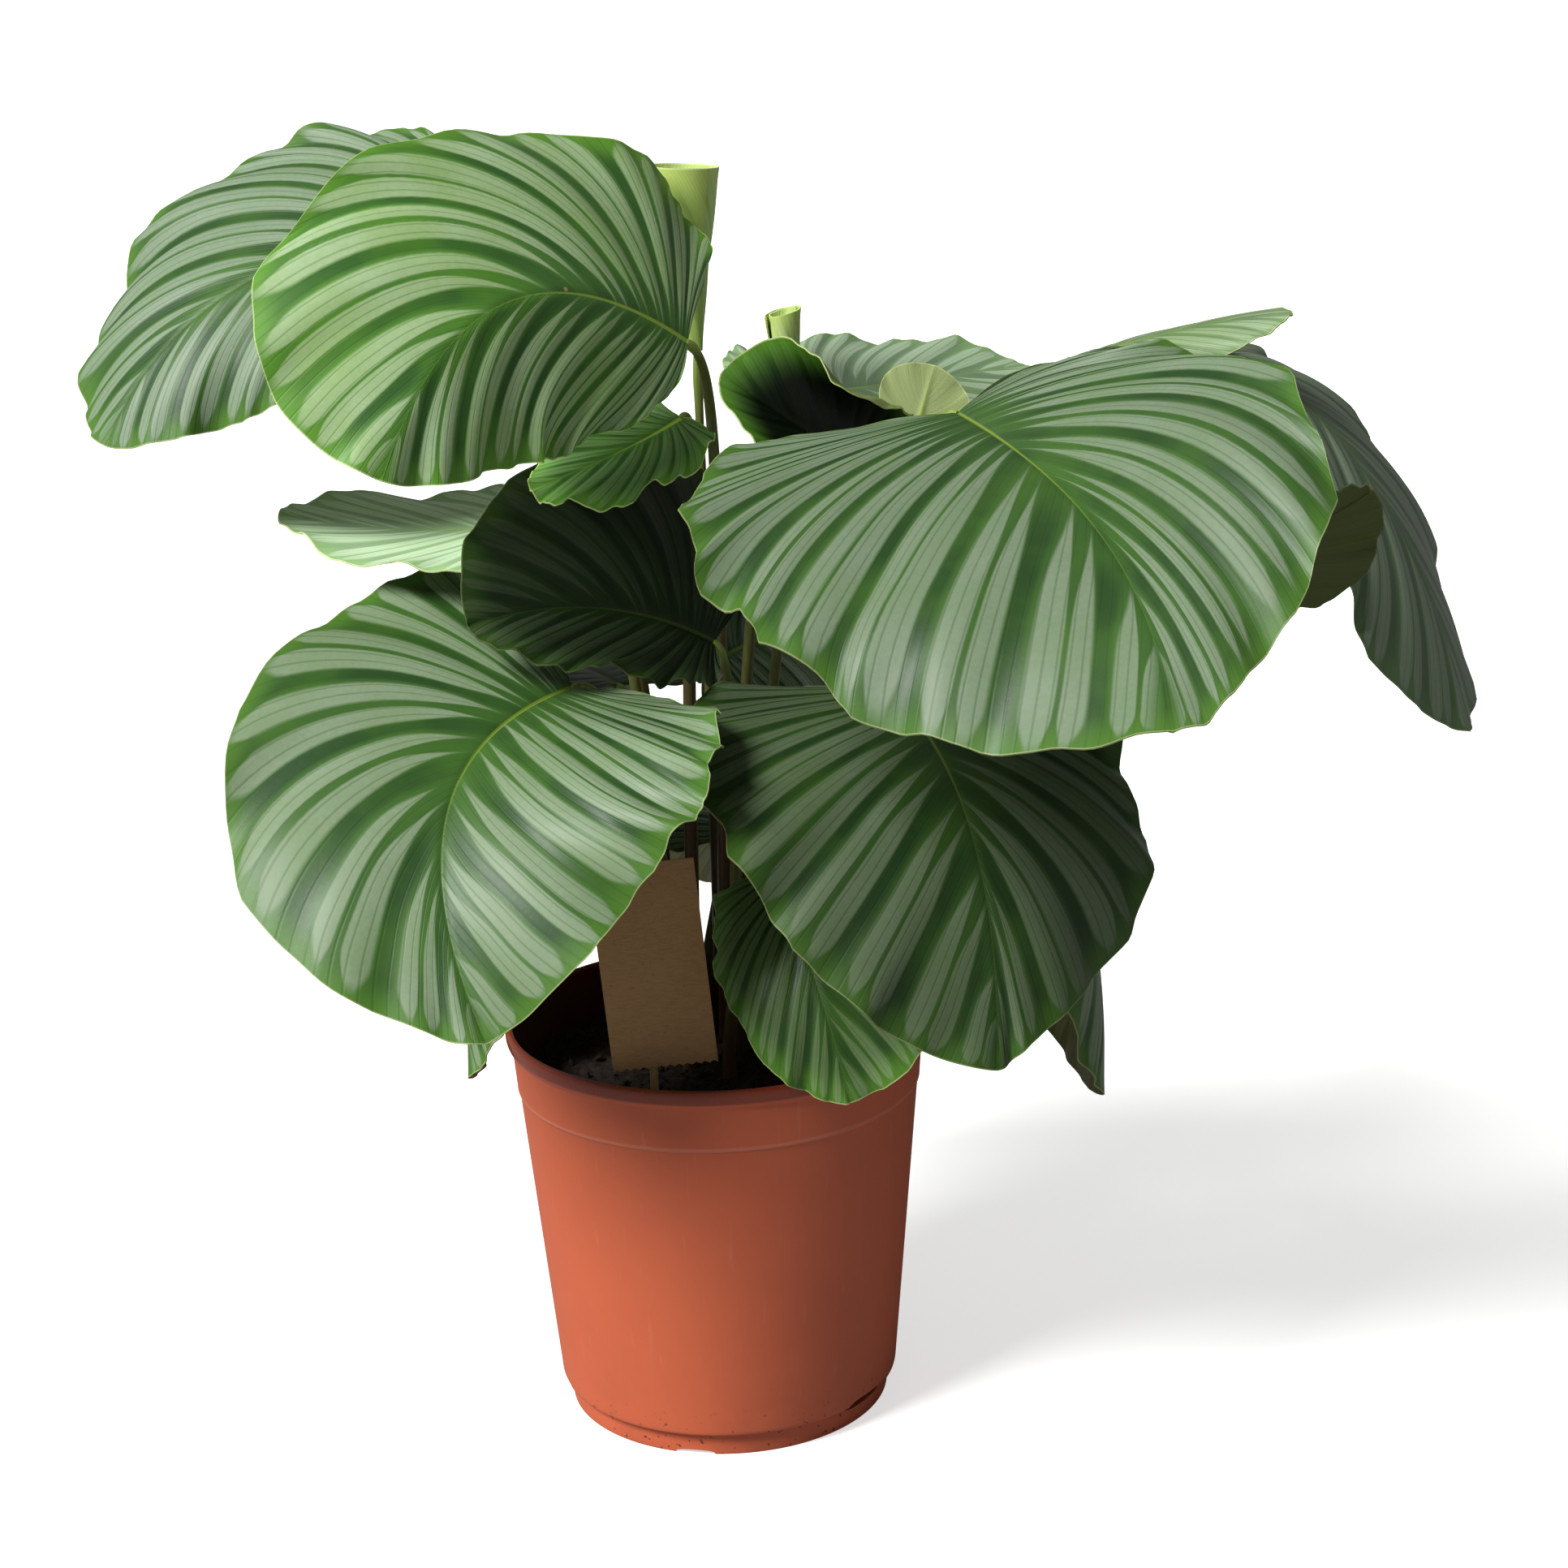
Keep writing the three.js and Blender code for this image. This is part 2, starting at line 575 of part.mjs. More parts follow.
// A body turned about Z from a closed outline of [radius, height], listed anticlockwise.
function turned(outline, sides, heightAt = () => 0) {
  const positions = [];
  const index = [];
  const rings = outline.map(([r, z]) => {
    const count = r > 0 ? sides : 1;
    const start = positions.length / 3;
    for (let j = 0; j < count; j++) {
      const angle = (TAU * j) / sides;
      const x = r * Math.cos(angle);
      const y = r * Math.sin(angle);
      positions.push(x, y, z + heightAt(x, y, z));
    }
    return (j) => start + (count > 1 ? j % sides : 0);
  });
  rings.forEach((ring, i) => {
    const next = rings[(i + 1) % rings.length];
    for (let j = 0; j < sides; j++) {
      const [a, b, c, d] = [ring(j), ring(j + 1), next(j + 1), next(j)];
      if (a !== b) index.push(a, b, c);
      if (c !== d) index.push(a, c, d);
    }
  });
  const geometry = new THREE.BufferGeometry();
  geometry.setAttribute("position", new THREE.Float32BufferAttribute(positions, 3));
  geometry.setIndex(index);
  return geometry;
}

// A box centred at a radius and angle about Z, with its width pointing outward
function box(width, depth, height, radius, z, turn) {
  const geometry = new THREE.BoxGeometry(width, depth, height).toNonIndexed();
  geometry.deleteAttribute("normal");
  geometry.deleteAttribute("uv");
  geometry.rotateZ(turn);
  geometry.translate(radius * Math.cos(turn), radius * Math.sin(turn), z);
  geometry.setIndex([...Array(geometry.attributes.position.count).keys()]);
  return solid(geometry);
}

// The radius of the pot's wall outside and inside at a height
const bodySlope = (COLLAR_RADIUS - BODY_FOOT_RADIUS) / (COLLAR_HEIGHT - FOOT_HEIGHT);
const outerRadius = (z) => BODY_FOOT_RADIUS + (z - FOOT_HEIGHT) * bodySlope;
const innerRadius = (z) => outerRadius(z) - POT_WALL;
const footInner = FOOT_RADIUS - POT_WALL;
const thin = POT_WALL / 4;

// The pot: foot ring, floor with a resting pad, sloping wall, collar band and rolled rim, with
// notches through the foot ring and drain slots where the wall meets the foot.
function potGeometry() {
  const outline = [
    [PAD_RADIUS, 0],
    [PAD_RADIUS + PAD_SLOPE, FLOOR_UNDER],
    [footInner - thin, FLOOR_UNDER],
    [footInner, 0],
    [FOOT_RADIUS, 0],
    [FOOT_RADIUS + thin, FOOT_HEIGHT - thin],
    [BODY_FOOT_RADIUS - thin, FOOT_HEIGHT - thin],
    [outerRadius(FOOT_HEIGHT + EDGE_ROUND), FOOT_HEIGHT + EDGE_ROUND],
    [outerRadius(COLLAR_HEIGHT - COLLAR_RIDGE), COLLAR_HEIGHT - COLLAR_RIDGE],
    [COLLAR_RADIUS + COLLAR_RIDGE, COLLAR_HEIGHT],
    [COLLAR_RADIUS + COLLAR_RIDGE, COLLAR_HEIGHT + COLLAR_RIDGE_HEIGHT],
    [COLLAR_RADIUS + COLLAR_FLARE, RIM_HEIGHT - RIM_ROLL_HEIGHT - EDGE_ROUND],
    [RIM_RADIUS - thin, RIM_HEIGHT - RIM_ROLL_HEIGHT],
    [RIM_RADIUS, RIM_HEIGHT - EDGE_ROUND],
    [RIM_RADIUS - EDGE_ROUND, RIM_HEIGHT],
    [RIM_RADIUS - RIM_ROLL_WIDTH + EDGE_ROUND, RIM_HEIGHT],
    [RIM_RADIUS - RIM_ROLL_WIDTH + thin, RIM_HEIGHT - EDGE_ROUND],
    [RIM_RADIUS - RIM_ROLL_WIDTH, RIM_HEIGHT - RIM_ROLL_HEIGHT],
    [innerRadius(COLLAR_HEIGHT), COLLAR_HEIGHT - COLLAR_RIDGE],
    [innerRadius(FOOT_HEIGHT + EDGE_ROUND), FOOT_HEIGHT + EDGE_ROUND],
    [footInner - thin, FOOT_HEIGHT + thin],
    [footInner - 2 * thin, FLOOR_TOP],
    [0, FLOOR_TOP],
    [0, 0],
  ];
  let pot = solid(turned(outline, POT_SIDES));
  const notchRadius = FOOT_RADIUS - POT_WALL;
  for (let i = 0; i < FOOT_NOTCHES; i++) {
    const angle = (TAU * (i + FOOT_NOTCH_START)) / FOOT_NOTCHES;
    const notch = box(FOOT_NOTCH_DEPTH, FOOT_NOTCH_WIDTH, FOOT_NOTCH_HEIGHT, notchRadius, 0, angle);
    pot = pot.subtract(notch);
  }
  const slotRadius = FOOT_RADIUS + POT_WALL;
  const slotZ = DRAIN_SLOT_MIDDLE;
  for (const degrees of DRAIN_SLOT_ANGLES) {
    const angle = degrees * DEGREE;
    const slot = box(DRAIN_SLOT_DEPTH, DRAIN_SLOT_WIDTH, DRAIN_SLOT_HEIGHT, slotRadius, slotZ, angle);
    pot = pot.subtract(slot);
  }
  return geometryOf(pot);
}

// Peat that fills the pot, a little mounded and lumpy on top, with a hole for each stem and the stick.
function soilGeometry(holes) {
  const edge = innerRadius(SOIL_TOP) - SOIL_EDGE_GAP;
  const play = SEAT + thin / 4;
  const outline = [
    [0, FLOOR_TOP + SEAT],
    [footInner - 3 * thin, FLOOR_TOP + SEAT],
    [footInner - 2 * thin, FOOT_HEIGHT + EDGE_ROUND],
    [innerRadius(FOOT_HEIGHT + 2 * EDGE_ROUND) - play, FOOT_HEIGHT + 2 * EDGE_ROUND],
    [innerRadius(COLLAR_HEIGHT) - play, COLLAR_HEIGHT - COLLAR_RIDGE],
  ];
  for (let i = 0; i < SOIL_RINGS; i++) outline.push([mix(edge, 0, i / SOIL_RINGS), SOIL_TOP]);
  outline.push([0, SOIL_TOP]);
  const [long, wide, slow] = SOIL_LUMP_WAVES;
  const heightAt = (x, y, z) => {
    if (z < SOIL_TOP) return 0;
    const mound = SOIL_MOUND * (1 - Math.hypot(x, y) / innerRadius(SOIL_TOP));
    const lump = Math.sin(long * x) * Math.cos(wide * y) + Math.sin(slow * (x - y)) / 2;
    return mound + SOIL_LUMP * lump;
  };
  let soil = solid(turned(outline, POT_SIDES, heightAt));
  for (const hole of holes) soil = soil.subtract(solid(hole));
  return geometryOf(soil);
}

// A hole through the top of the soil for a rod that stands upright in it
function holeGeometry(foot, bottom, radius, sides) {
  const path = [
    new THREE.Vector3(foot[0], foot[1], bottom - SEAT),
    new THREE.Vector3(foot[0], foot[1], SOIL_TOP + 4 * SOIL_MOUND),
  ];
  return rodGeometry(path, () => radius + HOLE_PLAY, sides);
}

// The card: a plain rectangle with a fine saw-toothed lower edge
function tagGeometry() {
  const outline = [];
  for (let i = 0; i <= 2 * TAG_TEETH; i++) {
    outline.push(new THREE.Vector2(
      mix(-TAG_WIDTH / 2, TAG_WIDTH / 2, i / (2 * TAG_TEETH)),
      -TAG_HEIGHT / 2 + (i % 2) * TAG_TOOTH,
    ));
  }
  outline.push(new THREE.Vector2(TAG_WIDTH / 2, TAG_HEIGHT / 2));
  outline.push(new THREE.Vector2(-TAG_WIDTH / 2, TAG_HEIGHT / 2));
  const shape = new THREE.Shape(outline);
  const geometry = new THREE.ExtrudeGeometry(shape, { depth: TAG_THICK, bevelEnabled: false });
  geometry.translate(0, 0, -TAG_THICK / 2);
  return geometry;
}

const group = new THREE.Group();
group.name = "potted_calathea";

// A named mesh in the group, with its own material
function add(name, geometry, look) {
  const [color, roughness] = COLOURS[look];
  const material = new THREE.MeshStandardMaterial({ color, roughness, metalness: 0 });
  const mesh = new THREE.Mesh(geometry, material);
  mesh.name = name;
  group.add(mesh);
  return mesh;
}

const holes = [];
for (const leaf of LEAVES) {
  const midrib = midribOf(leaf);
  const look = leaf.pale ? "paleLeaf" : "leaf";
  add("leaf_" + leaf.name, bladeGeometry(leaf, midrib), look);
  const start = midrib.at(0);
  const end = start.point
    .clone()
    .addScaledVector(start.forward, -STEM_TO_BLADE)
    .addScaledVector(start.up, -KEEL_THICK / 2);
  const reach = leaf.reach ?? STEM_REACH_SHARE * midrib.length;
  const path = stemPath(leaf.foot, leaf.rise, leaf.lean ?? [0, 0], end, start.forward, reach);
  add("stem_" + leaf.name, rodGeometry(path, stemRadius, STEM_SIDES), "stem");
  holes.push(holeGeometry(leaf.foot, path[0].z, STEM_ROOT_RADIUS, STEM_SIDES));
}
for (const roll of ROLLS) {
  add("leaf_" + roll.name, rollGeometry(roll), "youngLeaf");
  const end = vec(roll.base);
  end.z -= SEAT;
  const up = new THREE.Vector3(0, 0, 1);
  const path = stemPath(roll.foot, roll.rise, [0, 0], end, up, ROLL_REACH);
  add("stem_" + roll.name, rodGeometry(path, stemRadius, STEM_SIDES), "stem");
  holes.push(holeGeometry(roll.foot, path[0].z, STEM_ROOT_RADIUS, STEM_SIDES));
}

const tag = add("tag_card", tagGeometry(), "card");
tag.position.set(...TAG_CENTRE);
tag.rotation.set(Math.PI / 2, 0, 0);
tag.rotateZ(TAG_TILT * DEGREE);

// The stick stands just behind the card, which leans on it.
const stickBack = TAG_CENTRE[1] + TAG_THICK / 2 + SEAT + STICK_RADIUS;
const stickFoot = [TAG_CENTRE[0] - STICK_OFF_CENTRE, stickBack];
const stickBottom = SOIL_TOP - STICK_DEPTH;
const stickPath = [
  new THREE.Vector3(...stickFoot, stickBottom),
  new THREE.Vector3(...stickFoot, stickBottom + STICK_LENGTH),
];
add("tag_stick", rodGeometry(stickPath, () => STICK_RADIUS, STICK_SIDES), "wood");
holes.push(holeGeometry(stickFoot, stickBottom, STICK_RADIUS, STICK_SIDES));

add("pot", potGeometry(), "pot");
add("soil", soilGeometry(holes), "soil");

export default group;
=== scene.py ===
# Potted round-leaf calathea: the finished look of the part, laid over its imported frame.
# Sizes in the tables are millimetres. Everything that is made is in metres, in the part's frame.
import functools
import math

import bpy
import numpy as np
from bpy.props import FloatProperty, FloatVectorProperty, IntProperty, PointerProperty
from mathutils import Matrix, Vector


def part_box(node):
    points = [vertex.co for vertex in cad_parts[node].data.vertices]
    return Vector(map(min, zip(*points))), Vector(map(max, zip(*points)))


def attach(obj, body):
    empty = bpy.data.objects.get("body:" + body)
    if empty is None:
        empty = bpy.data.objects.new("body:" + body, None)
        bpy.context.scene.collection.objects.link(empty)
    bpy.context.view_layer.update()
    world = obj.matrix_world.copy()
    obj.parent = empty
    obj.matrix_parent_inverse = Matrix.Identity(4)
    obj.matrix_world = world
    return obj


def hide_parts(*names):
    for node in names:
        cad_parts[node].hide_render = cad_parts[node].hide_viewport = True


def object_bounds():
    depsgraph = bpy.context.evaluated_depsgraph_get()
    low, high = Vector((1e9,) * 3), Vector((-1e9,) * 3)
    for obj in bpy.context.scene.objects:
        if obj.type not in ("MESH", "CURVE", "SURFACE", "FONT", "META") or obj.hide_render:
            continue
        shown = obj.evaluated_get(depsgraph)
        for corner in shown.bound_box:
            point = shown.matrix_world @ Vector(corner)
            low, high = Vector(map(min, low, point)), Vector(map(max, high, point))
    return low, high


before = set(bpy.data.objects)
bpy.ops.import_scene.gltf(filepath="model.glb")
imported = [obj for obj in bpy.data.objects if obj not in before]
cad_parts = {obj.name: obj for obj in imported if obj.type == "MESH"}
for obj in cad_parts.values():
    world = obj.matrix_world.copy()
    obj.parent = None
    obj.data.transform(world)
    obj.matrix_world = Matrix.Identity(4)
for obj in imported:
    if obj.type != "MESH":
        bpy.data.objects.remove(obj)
CAD_BOX = [list(corner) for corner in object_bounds()]

bl_info = {
    "name": "Potted Round-Leaf Calathea",
    "version": (1, 0, 0),
    "blender": (4, 5, 0),
    "location": "3D View > Sidebar > Calathea",
    "description": "Makes the banded leaves, stems, pot, soil and tag of a potted calathea",
    "category": "Add Mesh",
}

MM = 0.001
TAU = 2 * math.pi

# Leaves. base, mid and tip are points on the midrib. face is the way the upper side looks at mid.
# Pairs are for the left and the right half, seen from base to tip with the upper side up. half is the
# widest half width in midrib lengths. fold and curl are degrees that a half is raised at the midrib and
# bent on its way to the edge. Three values are at base, middle and tip. lobe sets how far a half reaches
# back past the base, and sweep how far its edge leans back, as a share of its width. wave is height,
# count and start. nip is a dent in the outline: place, depth and width. calm below 1 lowers the fine
# relief. veins are two powers that spread the veins' roots along the midrib, and how far along and
# across the veins head at first. finish is the brightness above, above along the edge and below. This
# is painted light and shade as well as tone: a leaf in the shade of others is drawn darker, and a lit or
# curled edge brighter. Then come how yellow the leaf is, and how pale its bands lie over the green: over
# 1, the green pales as well, as a painted sheen. edge_band is how far in from the edge the painted light
# changes. foot is where the stem leaves the soil.
# rise and lean are how far the stem's bend is drawn up and sideways, and reach is the length over which it
# joins the midrib: a fifth of the midrib where none is given.
PLAIN_LEAF = dict(curl=(-20, -20), fold=(0, 0), lobe=(0.12, 0.12), sweep=(0, 0), wave=(3, 4, 0),
                  nip=(None, None), calm=1, veins=(2.5, 5.5, 0.36, 0.6), finish=(0.8, 0.8, 0.9, 0.3, 1),
                  edge_band=21, slot="leaf", lean=(0, 0), reach=None)
STRAIGHT_VEINS = (3.6, 13, 0.26, 0.7)
LEAVES = [{**PLAIN_LEAF, **own} for own in (
    dict(name="low_left", base=(-61, -30, 378), mid=(-114, -115, 344), tip=(-96, -180, 257),
         face=(0.1, -0.62, 0.79), half=(0.54, 0.52), fold=(22, 5), curl=((5, -10, -25), (-15, -20, -60)),
         lobe=(0.18, 0.22), sweep=(0, 0.25), wave=(4, 5, 0), nip=(None, (0.88, 0.35, 0.1)),
         foot=(-14, -10), rise=100, finish=(0.87, 0.85, 1, 0.45, 0.98)),
    dict(name="high_left_front", base=(-1, -10, 536), mid=(-77, -90, 567), tip=(-129, -150, 501),
         face=(0.44, -0.63, 0.65), half=(0.33, 0.5), fold=(-20, (17, 3, 3)), curl=(-30, (-20, -20, -35)),
         lobe=(0, 0.24), sweep=(-0.04, -0.06), wave=(4, 5, 0.6), nip=(None, (0.55, 0.14, 0.12)),
         foot=(4, 28), rise=600, reach=20, lean=(8, 25), finish=(1.66, 1.5, 1, 0.95, 0.97)),
    dict(name="big_right", base=(122, -30, 502.5), mid=(177, -150, 466), tip=(191, -265, 413),
         face=(0.12, -0.37, 0.92), half=(0.4, 0.66), fold=((30, 53, 30), (0, -8, -30)),
         curl=((-20, -35, -70), (-10, -15, -20)), lobe=(0.02, 0.15), sweep=(-0.08, 0.09), wave=(4, 5, 0),
         nip=((0.8, 0.42, 0.17), (0.6, 0.1, 0.2)), foot=(22, -4), rise=300, lean=(40, 25), reach=25,
         finish=(0.68, 0.68, 0.7, 0.3, 0.99), veins=STRAIGHT_VEINS),
    dict(name="low_right", base=(86, -20, 371), mid=(121, -105, 325), tip=(128, -160, 229),
         face=(0.33, -0.7, 0.62), half=(0.46, 0.54), fold=(6, -2), curl=((-20, -25, -60), -10),
         lobe=(0.18, 0.28), sweep=(0.08, 0), wave=(4, 5, 0), nip=((0.9, 0.6, 0.12), None), foot=(32, -20),
         rise=70, reach=15, finish=(0.42, 0.45, 0.6, 0.7, 0.8)),
    dict(name="high_left_back", base=(-100, 60, 592), mid=(-218, 45, 560), tip=(-282, 25, 489),
         face=(-0.2, -0.55, 0.8), half=(0.33, 0.45), fold=(-5, 5), curl=((-25, -30, -60), (-10, -20, -60)),
         lobe=(0.15, 0), wave=(4, 5, 0), nip=(None, (0.8, 0.16, 0.1)), foot=(-22, 34), rise=330,
         finish=(0.86, 0.86, 1, 0.1, 0.97)),
    dict(name="shaded_inner", base=(6, 0, 390), mid=(-49, -15, 412), tip=(-108, -40, 411),
         face=(0.2, -0.7, 0.6), half=(0.34, 0.62), fold=(10, 20), curl=(20, 20), lobe=(0.15, 0.15),
         foot=(10, -6), rise=150, reach=18, finish=(0.17, 0.3, 0.3, 0.9, 0.5)),
    dict(name="pale_left", base=(-64, 50, 443), mid=(-137, 60, 437), tip=(-208, 60, 447),
         face=(-0.1, -0.1, 0.98), half=(0.42, 0.42), fold=(5, 5), curl=(-10, -10), foot=(-24, 12),
         rise=200, finish=(2.3, 2, 1.3, 0.3, 1.24), calm=0.35, slot="pale_leaf"),
    dict(name="ruffled_middle", base=(-6, 6, 498), mid=(-34, -16, 487), tip=(-76, -34, 473),
         face=(0, -0.5, 0.86), half=(0.35, 0.35), curl=(-10, 0), wave=(5, 4, 1), foot=(-12, 30), rise=560,
         reach=14, lean=(4, 30), finish=(1.9, 2.3, 0.8, 0.9, 0.3)),
    dict(name="curled_middle", base=(85, 25, 465), mid=(48, 0, 494), tip=(14, -8, 521),
         face=(0.1, -0.5, 0.85), half=(0.45, 0.5), fold=(0, 30), curl=(0, (120, 150, 110)), wave=(2, 3, 0),
         foot=(31, 7), rise=200, reach=20, lean=(20, -2), finish=(0.05, 1.5, 0.8, 1.5, 0.1), calm=0.5,
         edge_band=24),
    dict(name="pale_back", base=(50, 75, 496), mid=(104, 135, 491), tip=(172, 190, 489),
         face=(0, -0.45, 0.89), half=(0.42, 0.46), curl=(-15, -15), foot=(12, 44), rise=250,
         finish=(1.25, 1.2, 1, 0.15, 1.2), slot="pale_leaf"),
    dict(name="small_round", base=(107, 36, 485), mid=(111, 42, 498), tip=(116, 48, 512),
         face=(0, 0.9, 0.3), half=(0.75, 0.75), curl=(0, 0), lobe=(0.1, 0.1), wave=(0.6, 3, 0),
         foot=(24, 16), rise=200, reach=10, lean=(20, 45), finish=(1.5, 1.5, 1.25, 0.8, 0),
         veins=STRAIGHT_VEINS, calm=0.05, slot="pale_leaf"),
    dict(name="far_right", base=(250, 102, 507), mid=(328, 71, 452), tip=(381, 45, 321),
         face=(0.7, -0.26, 0.63), half=(0.36, 0.28), fold=(4, 0), curl=((-20, -20, -40), (-20, -30, -120)),
         wave=(3, 5, 0), foot=(37, 24), rise=301, lean=(-10, -24), reach=63,
         finish=(0.62, 0.62, 0.6, 0.05, 1.19)),
    dict(name="slim_right_back", base=(188, 76, 509), mid=(244, 76, 523), tip=(290, 58, 530),
         face=(0, -0.1, 1), half=(0.3, 0.24), fold=(0, -10), curl=(-30, -60), wave=(1.5, 4, 0),
         foot=(32, 36), rise=350, reach=10, lean=(60, 4), finish=(1.05, 1.05, 1, 0.8, 1.22), calm=0.3,
         slot="pale_leaf"),
    dict(name="right_behind", base=(204, -25, 424), mid=(263, -45, 441), tip=(308, -60, 467),
         face=(0.1, 0.6, 0.75), half=(0.5, 0.4), foot=(38, -6), rise=475, lean=(32, 31), reach=35,
         finish=(0.4, 0.4, 0.36, 1.5, 0.3)),
    dict(name="over_rim", base=(31, -62, 295), mid=(48, -107, 258), tip=(63, -122, 200),
         face=(-0.1, -0.8, 0.6), half=(0.5, 0.35), curl=((0, 0, 60), (-20, -20, -20)), foot=(6, -24),
         rise=70, finish=(0.66, 1, 0.6, 1.15, 0.6)),
    dict(name="hanging_left", base=(-63, 60, 319), mid=(-114, 50, 261), tip=(-123, -10, 175),
         face=(-0.65, 0, 0.6), half=(0.32, 0.38), fold=(-10, -10), curl=((-20, -30, -60), (-20, -30, -60)),
         foot=(-31, 18), rise=90, finish=(0.8, 0.8, 0.7, 0.5, 1)),
    dict(name="hanging_right", base=(121, 50, 328), mid=(183, 50, 258), tip=(193, 10, 146),
         face=(0.75, 0.2, 0.6), half=(0.35, 0.35), fold=(-10, -10),
         curl=((-20, -30, -60), (-20, -30, -60)), foot=(44, 14), rise=90, finish=(0.8, 0.8, 0.7, 0.5, 1)),
    dict(name="back_left", base=(-46, 88, 348), mid=(-104, 150, 338), tip=(-146, 205, 256),
         face=(-0.4, 0.6, 0.7), half=(0.45, 0.45), fold=(5, 5), lobe=(0.14, 0.14), wave=(3, 4, 1),
         foot=(-32, 40), rise=90, finish=(0.4, 0.4, 0.5, 0.5, 0.8)),
    dict(name="back_right", base=(4, 132, 348), mid=(62, 142, 360), tip=(124, 122, 340),
         face=(0, -0.72, 0.69), half=(0.45, 0.45), fold=(5, 5), lobe=(0.14, 0.14), wave=(3, 4, 2),
         foot=(20, 54), rise=230, finish=(0.3, 0.35, 0.5, 0.6, 0.6)),
    dict(name="back_low", base=(5, 90, 262), mid=(5, 150, 262), tip=(2, 205, 200), face=(0, 0.5, 0.85),
         half=(0.45, 0.45), fold=(5, 5), lobe=(0.14, 0.14), wave=(3, 4, 3), foot=(-8, 56), rise=50),
)]

# Rolled leaves. base and top are the ends of the axis. The roll widens from base_radius to top_radius,
# late where flare is over 1. turns is how often the blade goes round, start where its inner edge lies, in
# degrees, and slant how far the mouth is tipped. Their shades are silver, green, deep, margin, midrib and
# the dark of the underside. Their turns lie ROLL_GAP apart.
ROLLS = (
    dict(name="tall_roll", base=(1, 70, 520), top=(-3, 78, 608), base_radius=4.6, top_radius=20,
         flare=1.15, turns=1.3, start=200, slant=1, foot=(2, 48), rise=320, lean=(0, 0), reach=60),
    dict(name="short_roll", base=(45, 30, 470), top=(44, 30, 543), base_radius=4.4, top_radius=9.5,
         flare=1.6, turns=1.5, start=20, slant=2, foot=(20, 25), rise=250, lean=(0, 0), reach=60),
)
ROLL_SHADES = ("a3b37c", "8fa758", "7f9a4c", "a8bb62", "b4c46c", "8ea35c")
ROLL_BRIGHT = 1.6
ROLL_YELLOW = 0.05
ROLL_GRID = (41, 97)
ROLL_GAP = 2
ROLL_THICK = 0.7
ROLL_PLEAT = 0.25
ROLL_LENGTH = 80

# Fine sizes of a blade: how its grid crowds at the midrib, the ridge below and the groove above the
# midrib, and how often the waves of the ragged edge and of the ruffle come. Then in metres the midrib's
# drawn width and its loss to the tip, how far in the edge's green reaches, and where the cream edge starts
# and stops to fade.
GRID_CROWDING = 1.35
KEEL_THICK = 2.4
KEEL_WIDTH = 1.6
GROOVE_WIDTH = 1.5
RAGGED_WAVES = (7, 13, 23)
RUFFLE_WAVES = (9, 16, 27)
RIB_WIDTH = 0.0016
RIB_LOSS = 0.0011
MARGIN_WIDTH = 0.017
CREAM_EDGE = (0.0002, 0.0008)

# The pot, turned about its axis
RIM_RADIUS = 105
RIM_HEIGHT = 200.5
COLLAR_RADIUS = 99.4
COLLAR_HEIGHT = 168.5
BODY_FOOT_RADIUS = 85.1
FOOT_HEIGHT = 12.6
FOOT_RADIUS = 80.4
POT_WALL = 1.8
FLOOR_UNDER = 3
FLOOR_TOP = 5
PAD_RADIUS = 16
SLOT_ANGLES = (327, 190, 78)
SLOT_MIDDLE = 11.6
SLOT_CUT = 14
NOTCH_ANGLES = (18, 138, 258)
NOTCH_CUT = 7
WALL_SLOPE = (COLLAR_RADIUS - BODY_FOOT_RADIUS) / (COLLAR_HEIGHT - FOOT_HEIGHT)


def wall_radius(z):
    """The outer radius of the sloping wall at a height."""
    return BODY_FOOT_RADIUS + (z - FOOT_HEIGHT) * WALL_SLOPE


POT_OUTLINE = (
    (PAD_RADIUS, 0), (PAD_RADIUS + 2, FLOOR_UNDER), (FOOT_RADIUS - 2.25, FLOOR_UNDER),
    (FOOT_RADIUS - POT_WALL, 0), (FOOT_RADIUS, 0), (FOOT_RADIUS + 0.45, FOOT_HEIGHT - 0.45),
    (BODY_FOOT_RADIUS - 0.45, FOOT_HEIGHT - 0.45), (wall_radius(14), 14), (wall_radius(167.6), 167.6),
    (COLLAR_RADIUS + 0.9, COLLAR_HEIGHT), (COLLAR_RADIUS + 0.9, COLLAR_HEIGHT + 1.2),
    (COLLAR_RADIUS + 2.6, 191.1), (RIM_RADIUS - 1.1, 192.1), (RIM_RADIUS - 0.2, 194.4),
    (RIM_RADIUS, 197), (RIM_RADIUS - 0.5, 199.3), (RIM_RADIUS - 1.7, RIM_HEIGHT - 0.1),
    (RIM_RADIUS - 3.1, RIM_HEIGHT - 0.2), (RIM_RADIUS - 4.2, 199), (RIM_RADIUS - 4.7, 192.5),
    (wall_radius(168.5) - POT_WALL, 167.6), (wall_radius(14) - POT_WALL, 14),
    (FOOT_RADIUS - 2.25, 13.05), (FOOT_RADIUS - 2.7, FLOOR_TOP), (0, FLOOR_TOP), (0, 0),
)

# The soil in the pot. LUMP_SIZES are a share of the height, a size and a seed for each kind of lump, and
# CRUMB_SHEAR is how uneven the loose crumbs are.
SOIL_TOP = 173
SOIL_EDGE = wall_radius(SOIL_TOP) - 2 * POT_WALL
SOIL_MOUND = 4
SOIL_OUTLINE = ((0, 5.3), (77, 5.3), (77.3, 14), (83.2, 15.4), (97, 167.6), (SOIL_EDGE - 0.3, SOIL_TOP))
LUMP_SIZES = ((0.55, 9.0, 11), (0.4, 3.6, 12), (0.25, 1.7, 13))
SOIL_RINGS = 84
SOIL_SIDES = 240
CRUMB_SHEAR = 0.24

